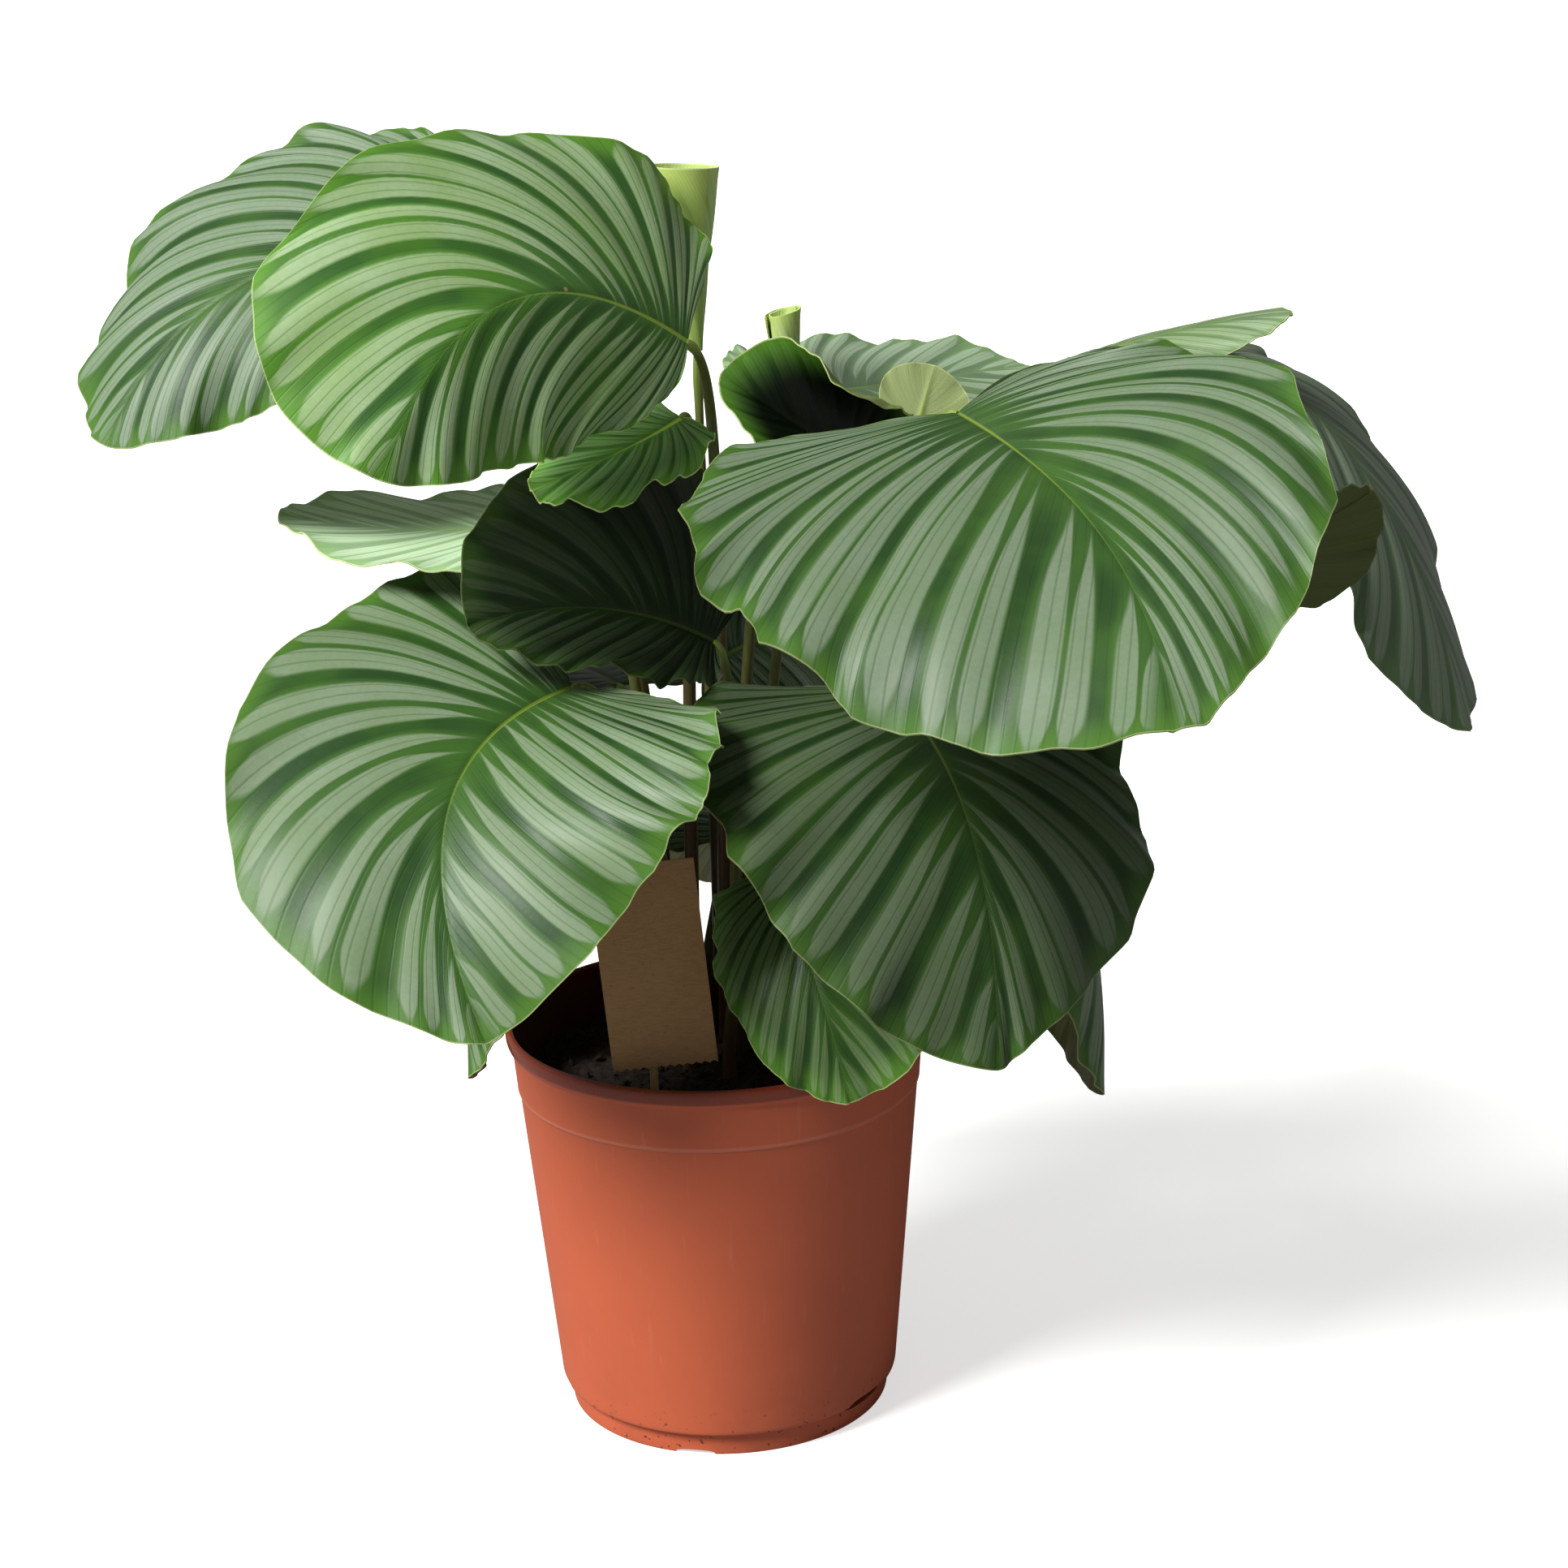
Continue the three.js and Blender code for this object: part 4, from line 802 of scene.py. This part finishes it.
def node_group(name, inputs, outputs):
    """An empty shader node group whose inputs and outputs are numbers. Inputs come with a default."""
    tree = bpy.data.node_groups.new(name, "ShaderNodeTree")
    for key, value in inputs.items():
        tree.interface.new_socket(name=key, in_out="INPUT", socket_type=FLOAT).default_value = value
    for key in outputs:
        tree.interface.new_socket(name=key, in_out="OUTPUT", socket_type=FLOAT)
    plan = Plan(tree)
    return tree, plan, plan.add("NodeGroupInput").outputs, plan.add("NodeGroupOutput").inputs


def new_material(name):
    """A material and the plan of its nodes."""
    material = bpy.data.materials.new(name)
    material.use_nodes = True
    return material, Plan(material.node_tree, material.node_tree.nodes["Principled BSDF"])


def band_group():
    """Where the silver bands, the deep green between them and the fine veins lie. The bands stand in pairs
    along the vein count: a broad green gap, silver, a thin gap, silver. Each pair draws its own widths and
    the places where its silver starts and ends, and both gaps widen towards these."""
    tree, p, given, out = node_group("Silver bands", {"Vein": 0.5, "Out": 0.5, "Seed": 0.0, "Pairs": 6.0},
                                     ("Silver", "Deep", "Fine Vein"))
    vein = given["Vein"]
    s = p.math("ABSOLUTE", given["Out"])
    side = p.step(given["Out"], -0.001, 0.001, 0.0, 37.0)
    own = p.weighed(side, (given["Seed"], 7.31))
    drift = p.noise(p.point(p.product(vein, 5.0), p.product(s, 1.6), own), 1.0, 1.0)
    phase = p.weighed(p.product(vein, given["Pairs"]), (p.math("SUBTRACT", drift, 0.5), BAND_DRIFT))
    pair = p.point(p.math("FLOOR", phase), own, 3.7)
    chance = p.add("ShaderNodeTexWhiteNoise", {"Vector": pair}, noise_dimensions="3D").outputs["Color"]
    one, two, three = p.add("ShaderNodeSeparateColor", {0: chance}).outputs
    f = p.math("FRACT", phase)

    start = p.drawn(one, *BAND_START)
    end = p.drawn(two, *BAND_END)
    opening = p.step(vein, 0.6, 0.9, 0.3, 0.75)
    inner = p.fade(s, start, p.total(start, opening))
    outer = p.step(s, p.total(end, -0.15), p.total(end, 0.02))
    inner, outer = p.product(inner, inner), p.product(outer, outer)
    broad = p.weighed(p.drawn(three, *BROAD_GAP), (inner, BROAD_GAIN[0]), (outer, BROAD_GAIN[1]))
    thin = p.weighed(p.drawn(one, *THIN_GAP), (inner, THIN_GAIN[0]), (outer, THIN_GAIN[1]))
    to_broad = p.math("MINIMUM", f, p.math("SUBTRACT", 1.0, f))
    to_thin = p.apart(f, p.drawn(two, *THIN_PLACE))
    silver = p.product(
        p.step(to_broad, p.total(broad, -0.035), p.total(broad, 0.03)),
        p.step(to_thin, p.total(thin, -0.012), p.total(thin, 0.022)),
        p.step(s, p.total(start, -0.045), p.total(start, p.product(opening, 0.2))),
        p.fade(s, p.total(end, -0.03), p.total(end, 0.035)),
        p.fade(vein, 0.955, 0.985))
    off_core = p.apart(p.math("FRACT", p.total(phase, 0.5)), 0.47)
    deep = p.product(p.fade(off_core, p.product(broad, 0.4), broad),
                     p.step(s, 0.05, 0.3, 0.6, 1.0), p.step(s, 0.8, 0.98, 1.0, 0.1))
    line = p.apart(p.math("FRACT", p.total(p.product(phase, VEINS_A_PAIR), 0.27)), 0.5)
    for key, value in (("Silver", silver), ("Deep", deep), ("Fine Vein", p.fade(line, 0.02, 0.14))):
        p.put(value, out[key])
    return tree


def leaf_material(name, bands, look, shades, rough):
    """The banded leaf. Upper side: green between the veins, deepest in the broad gaps and brighter towards
    the edge, silver bands over it, a yellow-green midrib, a thin cream edge and a few tan specks. Underside:
    paler, with weak bands. Pale leaves wash their green towards silver as a painted sheen, and every colour
    is scaled by the leaf's painted light and shade. shades are silver, green, deep, margin, rib, under light
    and under dark."""
    silver_shade, green, deep_green, margin, rib_shade, under_light, under_dark = shades
    material, p = new_material(name)
    marks = {key: p.mark(key) for key in LEAF_MARKS}
    group = p.add("ShaderNodeGroup", node_tree=bands)
    for key in ("vein", "out", "seed"):
        p.put(marks[key], group.inputs[key.title()])
    group.inputs["Pairs"].default_value = look.pairs
    silver, deep, fine = (group.outputs[key] for key in ("Silver", "Deep", "Fine Vein"))
    place = p.place()
    cloud = p.noise(place, 26.0, 3.0)
    mottle = p.noise(place, 420.0, 2.0)
    lower = p.step(marks["under"], 0.35, 0.65)

    rib_width = p.weighed(RIB_WIDTH, (marks["along"], -RIB_LOSS))
    rib = p.fade(marks["from_rib"], p.product(rib_width, 0.45), rib_width)
    near_edge = p.fade(marks["to_edge"], 0.0, MARGIN_WIDTH)
    base = p.coats(green, (p.product(deep, 0.9), deep_green), (p.product(near_edge, 0.75), margin),
                   (p.product(fine, 0.18), deep_green), (p.step(cloud, 0.35, 0.75, 0.0, 0.35), margin))
    amount = p.product(silver, p.step(mottle, 0.3, 0.7, 0.9, 1.0), p.step(cloud, 0.25, 0.7, 0.98, 0.84),
                       marks["silver"])
    lined = p.blend(p.product(fine, 0.42), silver_shade, green)
    # Where the silver mark is over 1, the green is washed towards silver as a painted sheen
    upper = p.coats(base, (p.math("MINIMUM", amount, 1.0), lined),
                    (p.step(marks["silver"], 1.0, 1.5), silver_shade))
    upper = p.tint(p.product(marks["yellow"], 0.55, p.step(cloud, 0.2, 0.8, 0.5, 1.0)), upper, LEAF_TINT)
    upper = p.blend(p.product(rib, p.step(marks["along"], 0.1, 0.6, 0.95, 0.25)), upper, rib_shade)

    banded = p.math("MINIMUM", marks["silver"], 1.0)
    under = p.coats(under_light, (p.product(p.math("SUBTRACT", 1.0, silver), banded, 0.75), under_dark),
                    (p.product(fine, banded, 0.3), under_dark), (p.product(rib, 0.8), rib_shade))
    under = p.tint(p.product(marks["yellow"], 0.5), under, LEAF_TINT)

    spots = p.add("ShaderNodeTexVoronoi", {"Vector": place, "Scale": 38.0}, feature="F1").outputs
    chosen = p.add("ShaderNodeSeparateColor", {0: spots["Color"]}).outputs[0]
    speck = p.product(p.fade(spots["Distance"], 0.02, 0.06), p.step(chosen, 0.95, 0.96))
    colour = p.coats(upper, (lower, under), (p.step(marks["to_edge"], *CREAM_EDGE, 0.6, 0.0), "c6cf8f"),
                     (p.product(speck, 0.7), "a98f5c"))
    # Painted light and shade: the colour is scaled by the leaf's brightness, with one value above and one
    # below
    lift = p.total(marks["tone_and_painted_light"], p.product(lower, p.math("SUBTRACT", marks["below"], marks["tone_and_painted_light"])))
    lit = p.add("ShaderNodeVectorMath", {0: colour, "Scale": lift}, operation="SCALE").outputs[0]
    p.surface(lit, p.weighed(rough, (silver, 0.07), (marks["under"], 0.1), (mottle, 0.06)),
              p.weighed(p.product(fine, -0.35), (mottle, 0.22), (silver, 0.25)), 0.35, 0.0006)
    p.shader.inputs["Coat Weight"].default_value = look.gloss
    p.shader.inputs["Coat Roughness"].default_value = 0.28
    p.shader.inputs["Specular IOR Level"].default_value = 0.28
    return material


def stem_material(look):
    """A stem: brown at the soil, olive above, fresh green at the swelling, with fine lengthwise streaks."""
    material, p = new_material("leaf stem")
    share = p.mark("share")
    streaks = p.grain((900.0, 900.0, 30.0), 2.0)
    blotches = p.noise(p.place(), 60.0, 2.0)
    colour = p.coats(look.root, (p.step(p.weighed(share, (blotches, 0.2)), 0.15, 0.65), look.middle),
                     (p.step(share, 0.82, 0.93), look.top), (p.step(streaks, 0.4, 0.75, 0.0, 0.5), "4a4a24"))
    p.surface(colour, p.weighed(0.38, (streaks, 0.2)), streaks, 0.3, 0.0004)
    return material


def pot_material(look):
    """Moulded plastic: terracotta with faint clouds and upright scuffs, painted shade over the inside, a
    light line on the collar's ridge, a glossier rim roll darkened as painted shade and reflection of the
    leaves, soil specks and dust low down, and a fine matt grain."""
    material, p = new_material("pot plastic")
    place = p.place()
    x, y, z = p.add("ShaderNodeSeparateXYZ", {0: place}).outputs
    radius = p.math("SQRT", p.total(p.product(x, x), p.product(y, y)))
    wall = p.weighed(BODY_FOOT_RADIUS * MM, (p.total(z, -FOOT_HEIGHT * MM), WALL_SLOPE))
    depth = p.math("SUBTRACT", wall, radius)
    clouds = p.noise(place, 14.0, 4.0, 0.6)
    scuffs = p.grain((320.0, 320.0, 14.0), 3.0)
    # Painted shade: the inner wall gets the darker inside colour, for the shade inside the pot
    inside_shade = p.product(p.step(depth, 0.0006, 0.0014), p.step(z, *INSIDE_SHADE_FROM))
    ridge = p.product(p.step(z, *LINE_FROM), p.fade(z, *LINE_TO), p.fade(depth, 0.0, 0.0008))
    # The rim roll: glossier, and darkened in colour as painted shade and reflection of the dark leaves
    roll = p.step(z, *RIM_GLOSS_AND_SHADE_FROM)
    specks = p.product(p.step(p.noise(place, 330.0, 2.0), 0.66, 0.7), p.fade(z, 0.01, 0.03))
    dust = p.product(p.fade(z, 0.0, 0.05), p.step(clouds, 0.45, 0.7))
    colour = p.coats(look.outside, (p.step(clouds, 0.3, 0.75, 0.0, 0.3), "b8573a"),
                     (p.step(scuffs, 0.62, 0.8, 0.0, 0.22), "d8876a"), (inside_shade, look.inside),
                     (p.product(ridge, 0.22), look.line), (p.product(roll, 0.8), "742b1b"),
                     (p.product(specks, 0.8), "3a241a"), (p.product(dust, 0.25), "5d3d30"))
    rough = p.weighed(0.47, (clouds, 0.12), (scuffs, 0.08), (roll, -0.3))
    p.surface(colour, rough, p.noise(place, 1600.0, 2.0), 0.12, 0.0003)
    return material


def soil_material(look):
    """Moist peat: near black, browner on top of the crumbs, with pale fibres here and there."""
    material, p = new_material("potting soil")
    place = p.place()
    crumbs = p.noise(place, 300.0, 4.0, 0.7)
    patches = p.noise(place, 45.0, 3.0)
    fibres = p.grain((60.0, 700.0, 200.0), 1.0, (0.3, 0.2, 0.9))
    colour = p.coats(look.dark, (p.step(p.weighed(crumbs, (patches, 0.5)), 0.55, 1.0), look.light),
                     (p.step(fibres, 0.72, 0.78, 0.0, 0.5), "6b4a2c"))
    p.surface(colour, 0.95, crumbs, 0.9, 0.0015)
    return material


def card_material(shade):
    """Brown card: short fibres in all directions, a few dark flecks, matt."""
    material, p = new_material("tag card")
    place = p.place()
    fibres = p.grain((260.0, 260.0, 1500.0), 3.0)
    colour = p.coats(shade, (p.step(fibres, 0.35, 0.7, 0.0, 0.5), "96704a"),
                     (p.step(p.noise(place, 40.0, 3.0), 0.3, 0.8, 0.0, 0.4), "b98f66"),
                     (p.step(p.noise(place, 900.0, 1.0), 0.68, 0.74, 0.0, 0.5), "5c4028"))
    p.surface(colour, 0.85, fibres, 0.25, 0.0003)
    return material


def stick_material(shade):
    """Raw wood: grain that runs up the stick."""
    material, p = new_material("tag stick")
    grain = p.grain((1400.0, 1400.0, 40.0), 3.0)
    p.surface(p.coats(shade, (p.step(grain, 0.3, 0.75), "9a7546")), 0.7, grain, 0.3, 0.0004)
    return material


def floor_material(look):
    """A plain matt floor. Only a share of its light reaches the plant, as from a floor of limited size, and
    an even glow that only the camera sees keeps its shadows pale."""
    material, p = new_material("plain floor")
    seen = p.add("ShaderNodeLightPath").outputs["Is Camera Ray"]
    dim = [c * look.bounce for c in look.floor[:3]] + [1.0]
    p.put(p.blend(seen, dim, list(look.floor)), p.shader.inputs["Base Color"])
    p.put(p.blend(seen, [0.0, 0.0, 0.0, 1.0], list(look.floor)), p.shader.inputs["Emission Color"])
    p.shader.inputs["Emission Strength"].default_value = look.glow
    p.shader.inputs["Roughness"].default_value = 0.9
    return material


def dress(thing, material, slot, *nodes):
    """Gives a piece its material and its place in the part: it rides on the one body and replaces nodes."""
    thing.data.materials.clear()
    thing.data.materials.append(material)
    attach(thing, "root")
    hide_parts(*nodes)


def looking(place, toward, roll):
    """A matrix for a lamp or a camera: it stands at place, looks toward, upright, and is then rolled about
    its line of sight."""
    ahead = toward / np.linalg.norm(toward)
    right = unit(np.cross(ahead, [0, 0, 1.0]))
    up = np.cross(right, ahead)
    turned_right = math.cos(roll) * right + math.sin(roll) * up
    turned_up = math.cos(roll) * up - math.sin(roll) * right
    rows = np.stack([turned_right, turned_up, -ahead, place], 1).tolist()
    return Matrix([*rows, [0, 0, 0, 1]])


# Settings

def size_property(name, description, value):
    """A length in metres that the user can change."""
    return FloatProperty(name=name, description=description, default=value, unit="LENGTH")


def share_property(name, description, value):
    """A share from 0 to 1 that the user can change."""
    return FloatProperty(name=name, description=description, default=value, subtype="FACTOR", min=0.0,
                         max=1.0)


def amount_property(name, description, value):
    """A number from 0 up that the user can change."""
    return FloatProperty(name=name, description=description, default=value, min=0.0)


def count_property(name, description, value, least):
    """A whole number that the user can change."""
    return IntProperty(name=name, description=description, default=value, min=least)


def shade_property(name, description, shade):
    """A colour that the user can change."""
    return FloatVectorProperty(name=name, description=description, default=linear(shade), size=4,
                               subtype="COLOR", min=0.0, max=1.0)


class CalatheaLeafSettings(bpy.types.PropertyGroup):
    """Sizes and colours of the leaf blades"""

    veins: count_property("Veins", "Grid rows from the base to the tip", 119, 12)
    steps: count_property("Steps", "Grid columns from the midrib to the edge", 27, 6)
    pairs: amount_property("Band pairs", "Pairs of silver bands on each half", 12)
    scallops: amount_property("Scallops", "Scallops along the edge of each half", 8.5)
    thickness: size_property("Thickness", "Thickness of a blade", 0.0007)
    ragged_edge: share_property("Ragged edge", "How far the outline strays, in half widths", 0.008)
    scallop: share_property("Scallop", "Depth of the scallops between the main veins, in half widths", 0.034)
    ruffle: size_property("Ruffle", "Height of the small waves at the edge", 0.0011)
    pleat: size_property("Pleat", "Depth of the valleys along the broad green gaps", 0.0010)
    groove: size_property("Groove", "Depth of the groove along the midrib", 0.0007)
    gloss: share_property("Gloss", "Weight of the clear coat", 0.05)
    silver: shade_property("Silver", "Colour of the silver bands", "94a78c")
    green: shade_property("Green", "Colour between the bands", "42692e")
    deep: shade_property("Deep green", "Colour in the broad gaps", "2a4c24")
    margin: shade_property("Margin", "Colour along the edge", "5c8c32")
    rib: shade_property("Midrib", "Colour of the midrib", "87a03a")
    under: shade_property("Underside", "Light colour of the underside", "a3ae85")
    shadow: shade_property("Underside green", "Darker colour of the underside", "7f8f62")
    fresh: shade_property("Fresh green", "Colour of a new leaf", "b3c47e")


class CalatheaStemSettings(bpy.types.PropertyGroup):
    """Sizes and colours of the leaf stems"""

    root_radius: size_property("Root radius", "Radius where a stem leaves the soil", 0.0038)
    neck_radius: size_property("Neck radius", "Radius where a stem meets its blade", 0.0018)
    swelling: size_property("Swelling", "How far the joint below the blade swells", 0.0006)
    root: shade_property("Root", "Colour just above the soil", "64452c")
    middle: shade_property("Middle", "Colour of the stem", "6f7436")
    top: shade_property("Joint", "Colour of the joint below the blade", "8da346")


class CalatheaPotSettings(bpy.types.PropertyGroup):
    """Sizes and colours of the pot"""

    sides: count_property("Sides", "Steps round the pot", 240, 48)
    rounding: size_property("Rounding", "How far the edges are rounded", 0.0009)
    slot_width: size_property("Slot width", "Width of a drain slot", 0.036)
    slot_height: size_property("Slot height", "Height of a drain slot", 0.007)
    notch_width: size_property("Notch width", "Width of an arch notch in the foot ring", 0.020)
    notch_height: size_property("Notch height", "Height of an arch notch", 0.0022)
    outside: shade_property("Outside", "Colour of the plastic", "cd633f")
    # The inside colour is painted shade over the same plastic
    inside: shade_property("Inside", "Colour of the plastic inside", "5a2418")
    line: shade_property("Line", "Colour of the fine line on the collar", "e0a48c")


class CalatheaSoilSettings(bpy.types.PropertyGroup):
    """Sizes and colours of the potting soil"""

    lumps: size_property("Lumps", "Height of the lumps", 0.0024)
    crumbs: count_property("Crumbs", "How many loose crumbs lie on top", 620, 0)
    crumb_size: size_property("Crumb size", "Radius of a middling crumb", 0.0015)
    dark: shade_property("Dark", "Colour of moist peat", "17110d")
    light: shade_property("Light", "Colour on top of the crumbs", "3d2d20")


class CalatheaTagSettings(bpy.types.PropertyGroup):
    """Sizes and colours of the tag and its stick"""

    stick_radius: size_property("Stick radius", "Radius of the stick", 0.002)
    # The card colour is set darker than the bare card, in part as painted shade from the leaves above
    card: shade_property("Card", "Colour of the brown card", "ae875a")
    wood: shade_property("Wood", "Colour of the stick", "cfae7c")


class CalatheaStageSettings(bpy.types.PropertyGroup):
    """The floor and the light"""

    floor: shade_property("Floor", "Colour of the floor", "f6f6f5")
    bounce: share_property("Bounce", "How much of the floor's light reaches the plant", 0.3)
    glow: share_property("Glow", "How much light the floor itself shows to the camera", 0.65)
    sky: amount_property("Sky", "Strength of the even light", 0.2)
    key: amount_property("Key", "Strength of the main light, from the upper left", 4.3)
    key_angle: FloatProperty(name="Key width", description="How wide the main light is, seen from the plant",
                             default=math.radians(24), min=0.0, subtype="ANGLE")


# Operators

class CalatheaLeaves(bpy.types.Operator):
    """Make the open leaf blades"""

    bl_idname = "calathea.leaves"
    bl_label = "Leaves"

    def execute(self, context):
        look = context.scene.calathea_leaf
        shades = look.silver, look.green, look.deep, look.margin, look.rib, look.under, look.shadow
        material = leaf_material("banded leaf", band_group(), look, shades, 0.41)
        for seed, leaf in enumerate(LEAVES):
            dress(make_blade(leaf, look, seed), material, leaf["slot"], "leaf_" + leaf["name"])
        return {"FINISHED"}


class CalatheaRolledLeaves(bpy.types.Operator):
    """Make the new leaves that are still rolled up"""

    bl_idname = "calathea.rolled_leaves"
    bl_label = "Rolled leaves"

    def execute(self, context):
        look = context.scene.calathea_leaf
        silver, green, deep, margin, rib, dark = (linear(shade) for shade in ROLL_SHADES)
        shades = silver, green, deep, margin, rib, look.fresh, dark
        material = leaf_material("young leaf", bpy.data.node_groups["Silver bands"], look, shades, 0.42)
        for seed, roll in enumerate(ROLLS):
            dress(make_roll(roll, seed), material, "young_leaf", "leaf_" + roll["name"])
        return {"FINISHED"}


class CalatheaStems(bpy.types.Operator):
    """Make a stem for each leaf, from the soil to the blade"""

    bl_idname = "calathea.stems"
    bl_label = "Stems"

    def execute(self, context):
        look = context.scene.calathea_stem
        material = stem_material(look)
        for leaf in LEAVES:
            points, forward, up, reach = midrib_of(leaf)
            end = points[0] + forward[0] * STEM_AHEAD * MM - up[0] * STEM_BELOW * MM
            join = leaf["reach"] * MM if leaf["reach"] else 0.2 * reach[-1]
            dress(make_stem(leaf, end, forward[0], join, look), material, "stem", "stem_" + leaf["name"])
        for roll in ROLLS:
            end = np.array(roll["base"]) * MM
            stem = make_stem(roll, end, np.array([0, 0, 1.0]), roll["reach"] * MM, look)
            dress(stem, material, "stem", "stem_" + roll["name"])
        return {"FINISHED"}


class CalatheaPot(bpy.types.Operator):
    """Make the pot: foot ring, floor, wall, collar and rolled rim, with its notches and drain slots"""

    bl_idname = "calathea.pot"
    bl_label = "Pot"

    def execute(self, context):
        look = context.scene.calathea_pot
        outline = closer(rounded(np.array(POT_OUTLINE, dtype=float), look.rounding / MM), 6)
        pot = turned("grower_pot", outline, look.sides)
        turn = np.linspace(0, TAU, 24, endpoint=False)
        slot = np.stack([np.sign(np.cos(turn)) * np.abs(np.cos(turn)) ** 0.4 * look.slot_width / MM / 2,
                         SLOT_MIDDLE + np.sin(turn) * look.slot_height / MM / 2], 1)
        arch = np.linspace(0, np.pi, 16)
        half = look.notch_width / MM / 2
        notch = np.stack([np.cos(arch) * half, np.sin(arch) ** 0.6 * look.notch_height / MM], 1)
        notch = np.concatenate([notch, [[-half, -1], [half, -1]]])
        cut_away(pot, prisms("slots", np.radians(SLOT_ANGLES), FOOT_RADIUS + POT_WALL, slot, SLOT_CUT))
        cut_away(pot, prisms("notches", np.radians(NOTCH_ANGLES), FOOT_RADIUS - POT_WALL, notch, NOTCH_CUT))
        pot.data.set_sharp_from_angle(angle=math.radians(35))
        dress(pot, pot_material(look), "pot", "pot")
        return {"FINISHED"}


class CalatheaSoil(bpy.types.Operator):
    """Make the potting soil and the loose crumbs on it"""

    bl_idname = "calathea.soil"
    bl_label = "Potting soil"

    def execute(self, context):
        look = context.scene.calathea_soil
        material = soil_material(look)
        away = np.linspace(SOIL_OUTLINE[-1][0], 0, SOIL_RINGS)
        rings = np.stack([away, np.full(SOIL_RINGS, SOIL_TOP)], 1)[1:]
        soil = turned("peat", np.concatenate([SOIL_OUTLINE, rings]), SOIL_SIDES,
                      lambda x, y, z: np.where(z < SOIL_TOP, 0, soil_height(x, y, look.lumps / MM)))
        dress(soil, material, "soil", "soil")
        dress(make_crumbs("peat_crumbs", look, 5), material, "soil", "soil")
        return {"FINISHED"}


class CalatheaTag(bpy.types.Operator):
    """Make the wooden stick and finish the bare card"""

    bl_idname = "calathea.tag"
    bl_label = "Tag"

    def execute(self, context):
        look = context.scene.calathea_tag
        low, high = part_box("tag_stick")
        t = np.concatenate([[0, 0.004, 0.01], np.linspace(0.05, 0.95, 12), [0.99, 0.996, 1]])
        x, y = np.full_like(t, (low.x + high.x) / 2), np.full_like(t, (low.y + high.y) / 2)
        ends = np.sqrt(np.clip(np.minimum(t, 1 - t) / 0.01, 0.25, 1))
        path = np.stack([x, y, low.z + (high.z - low.z) * t], 1)
        stick = tube("wooden_stick", path, look.stick_radius * ends, 20)
        dress(stick, stick_material(look.wood), "stick", "tag_stick")
        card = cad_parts["tag_card"]
        card.data.materials.clear()
        card.data.materials.append(card_material(look.card))
        return {"FINISHED"}


class CalatheaStage(bpy.types.Operator):
    """Make the floor, the lights and the camera"""

    bl_idname = "calathea.stage"
    bl_label = "Floor, light and camera"

    def execute(self, context):
        look = context.scene.calathea_stage
        corners = np.array([(-1, -1, 0), (1, -1, 0), (1, 1, 0), (-1, 1, 0)]) * FLOOR_HALF
        floor = put_mesh("plain_floor", corners, np.array([[0, 1, 2, 3]]))
        floor.data.materials.append(floor_material(look))
        world = bpy.data.worlds.new("even light")
        world.use_nodes = True
        sky = Plan(world.node_tree)
        seen = sky.add("ShaderNodeLightPath").outputs["Is Camera Ray"]
        back = world.node_tree.nodes["Background"]
        back.inputs["Color"].default_value = (1.0, 1.0, 1.0, 1.0)
        sky.put(sky.step(seen, 0.0, 1.0, look.sky, 1.0), back.inputs["Strength"])
        context.scene.world = world
        key = bpy.data.lights.new("key light", "SUN")
        key.energy = look.key
        key.angle = look.key_angle
        place = np.array(KEY_FROM)
        put_object("key light", key).matrix_world = looking(place, -place, 0.0)
        camera = bpy.data.cameras.new("photo camera")
        camera.sensor_width = 36
        camera.lens = CAMERA_LENS
        camera.clip_end = 100
        down = math.radians(CAMERA_DOWN)
        toward = np.array([0, math.cos(down), -math.sin(down)])
        eye = put_object("photo camera", camera)
        eye.matrix_world = looking(np.array(CAMERA_PLACE), toward, math.radians(CAMERA_ROLL))
        context.scene.camera = eye
        context.scene.view_settings.view_transform = "Standard"
        return {"FINISHED"}


class CALATHEA_PT_parts(bpy.types.Panel):
    """The pieces of the plant, each with its settings"""

    bl_idname = "CALATHEA_PT_parts"
    bl_label = "Potted Calathea"
    bl_space_type = "VIEW_3D"
    bl_region_type = "UI"
    bl_category = "Calathea"

    def draw(self, context):
        for key, settings, operators in PARTS:
            box = self.layout.box()
            for operator in operators:
                box.operator(operator.bl_idname)
            for name in settings.__annotations__:
                box.prop(getattr(context.scene, key), name)


PARTS = (
    ("calathea_leaf", CalatheaLeafSettings, (CalatheaLeaves, CalatheaRolledLeaves)),
    ("calathea_stem", CalatheaStemSettings, (CalatheaStems,)),
    ("calathea_pot", CalatheaPotSettings, (CalatheaPot,)),
    ("calathea_soil", CalatheaSoilSettings, (CalatheaSoil,)),
    ("calathea_tag", CalatheaTagSettings, (CalatheaTag,)),
    ("calathea_stage", CalatheaStageSettings, (CalatheaStage,)),
)


def register():
    for key, settings, operators in PARTS:
        for kind in (settings, *operators):
            bpy.utils.register_class(kind)
        setattr(bpy.types.Scene, key, PointerProperty(type=settings))
    bpy.utils.register_class(CALATHEA_PT_parts)


def unregister():
    bpy.utils.unregister_class(CALATHEA_PT_parts)
    for key, settings, operators in PARTS:
        delattr(bpy.types.Scene, key)
        for kind in (*operators, settings):
            bpy.utils.unregister_class(kind)


def main():
    register()
    bpy.ops.calathea.stage()
    bpy.ops.calathea.leaves()
    bpy.ops.calathea.rolled_leaves()
    bpy.ops.calathea.stems()
    bpy.ops.calathea.pot()
    bpy.ops.calathea.soil()
    bpy.ops.calathea.tag()


if __name__ == "__main__":
    main()
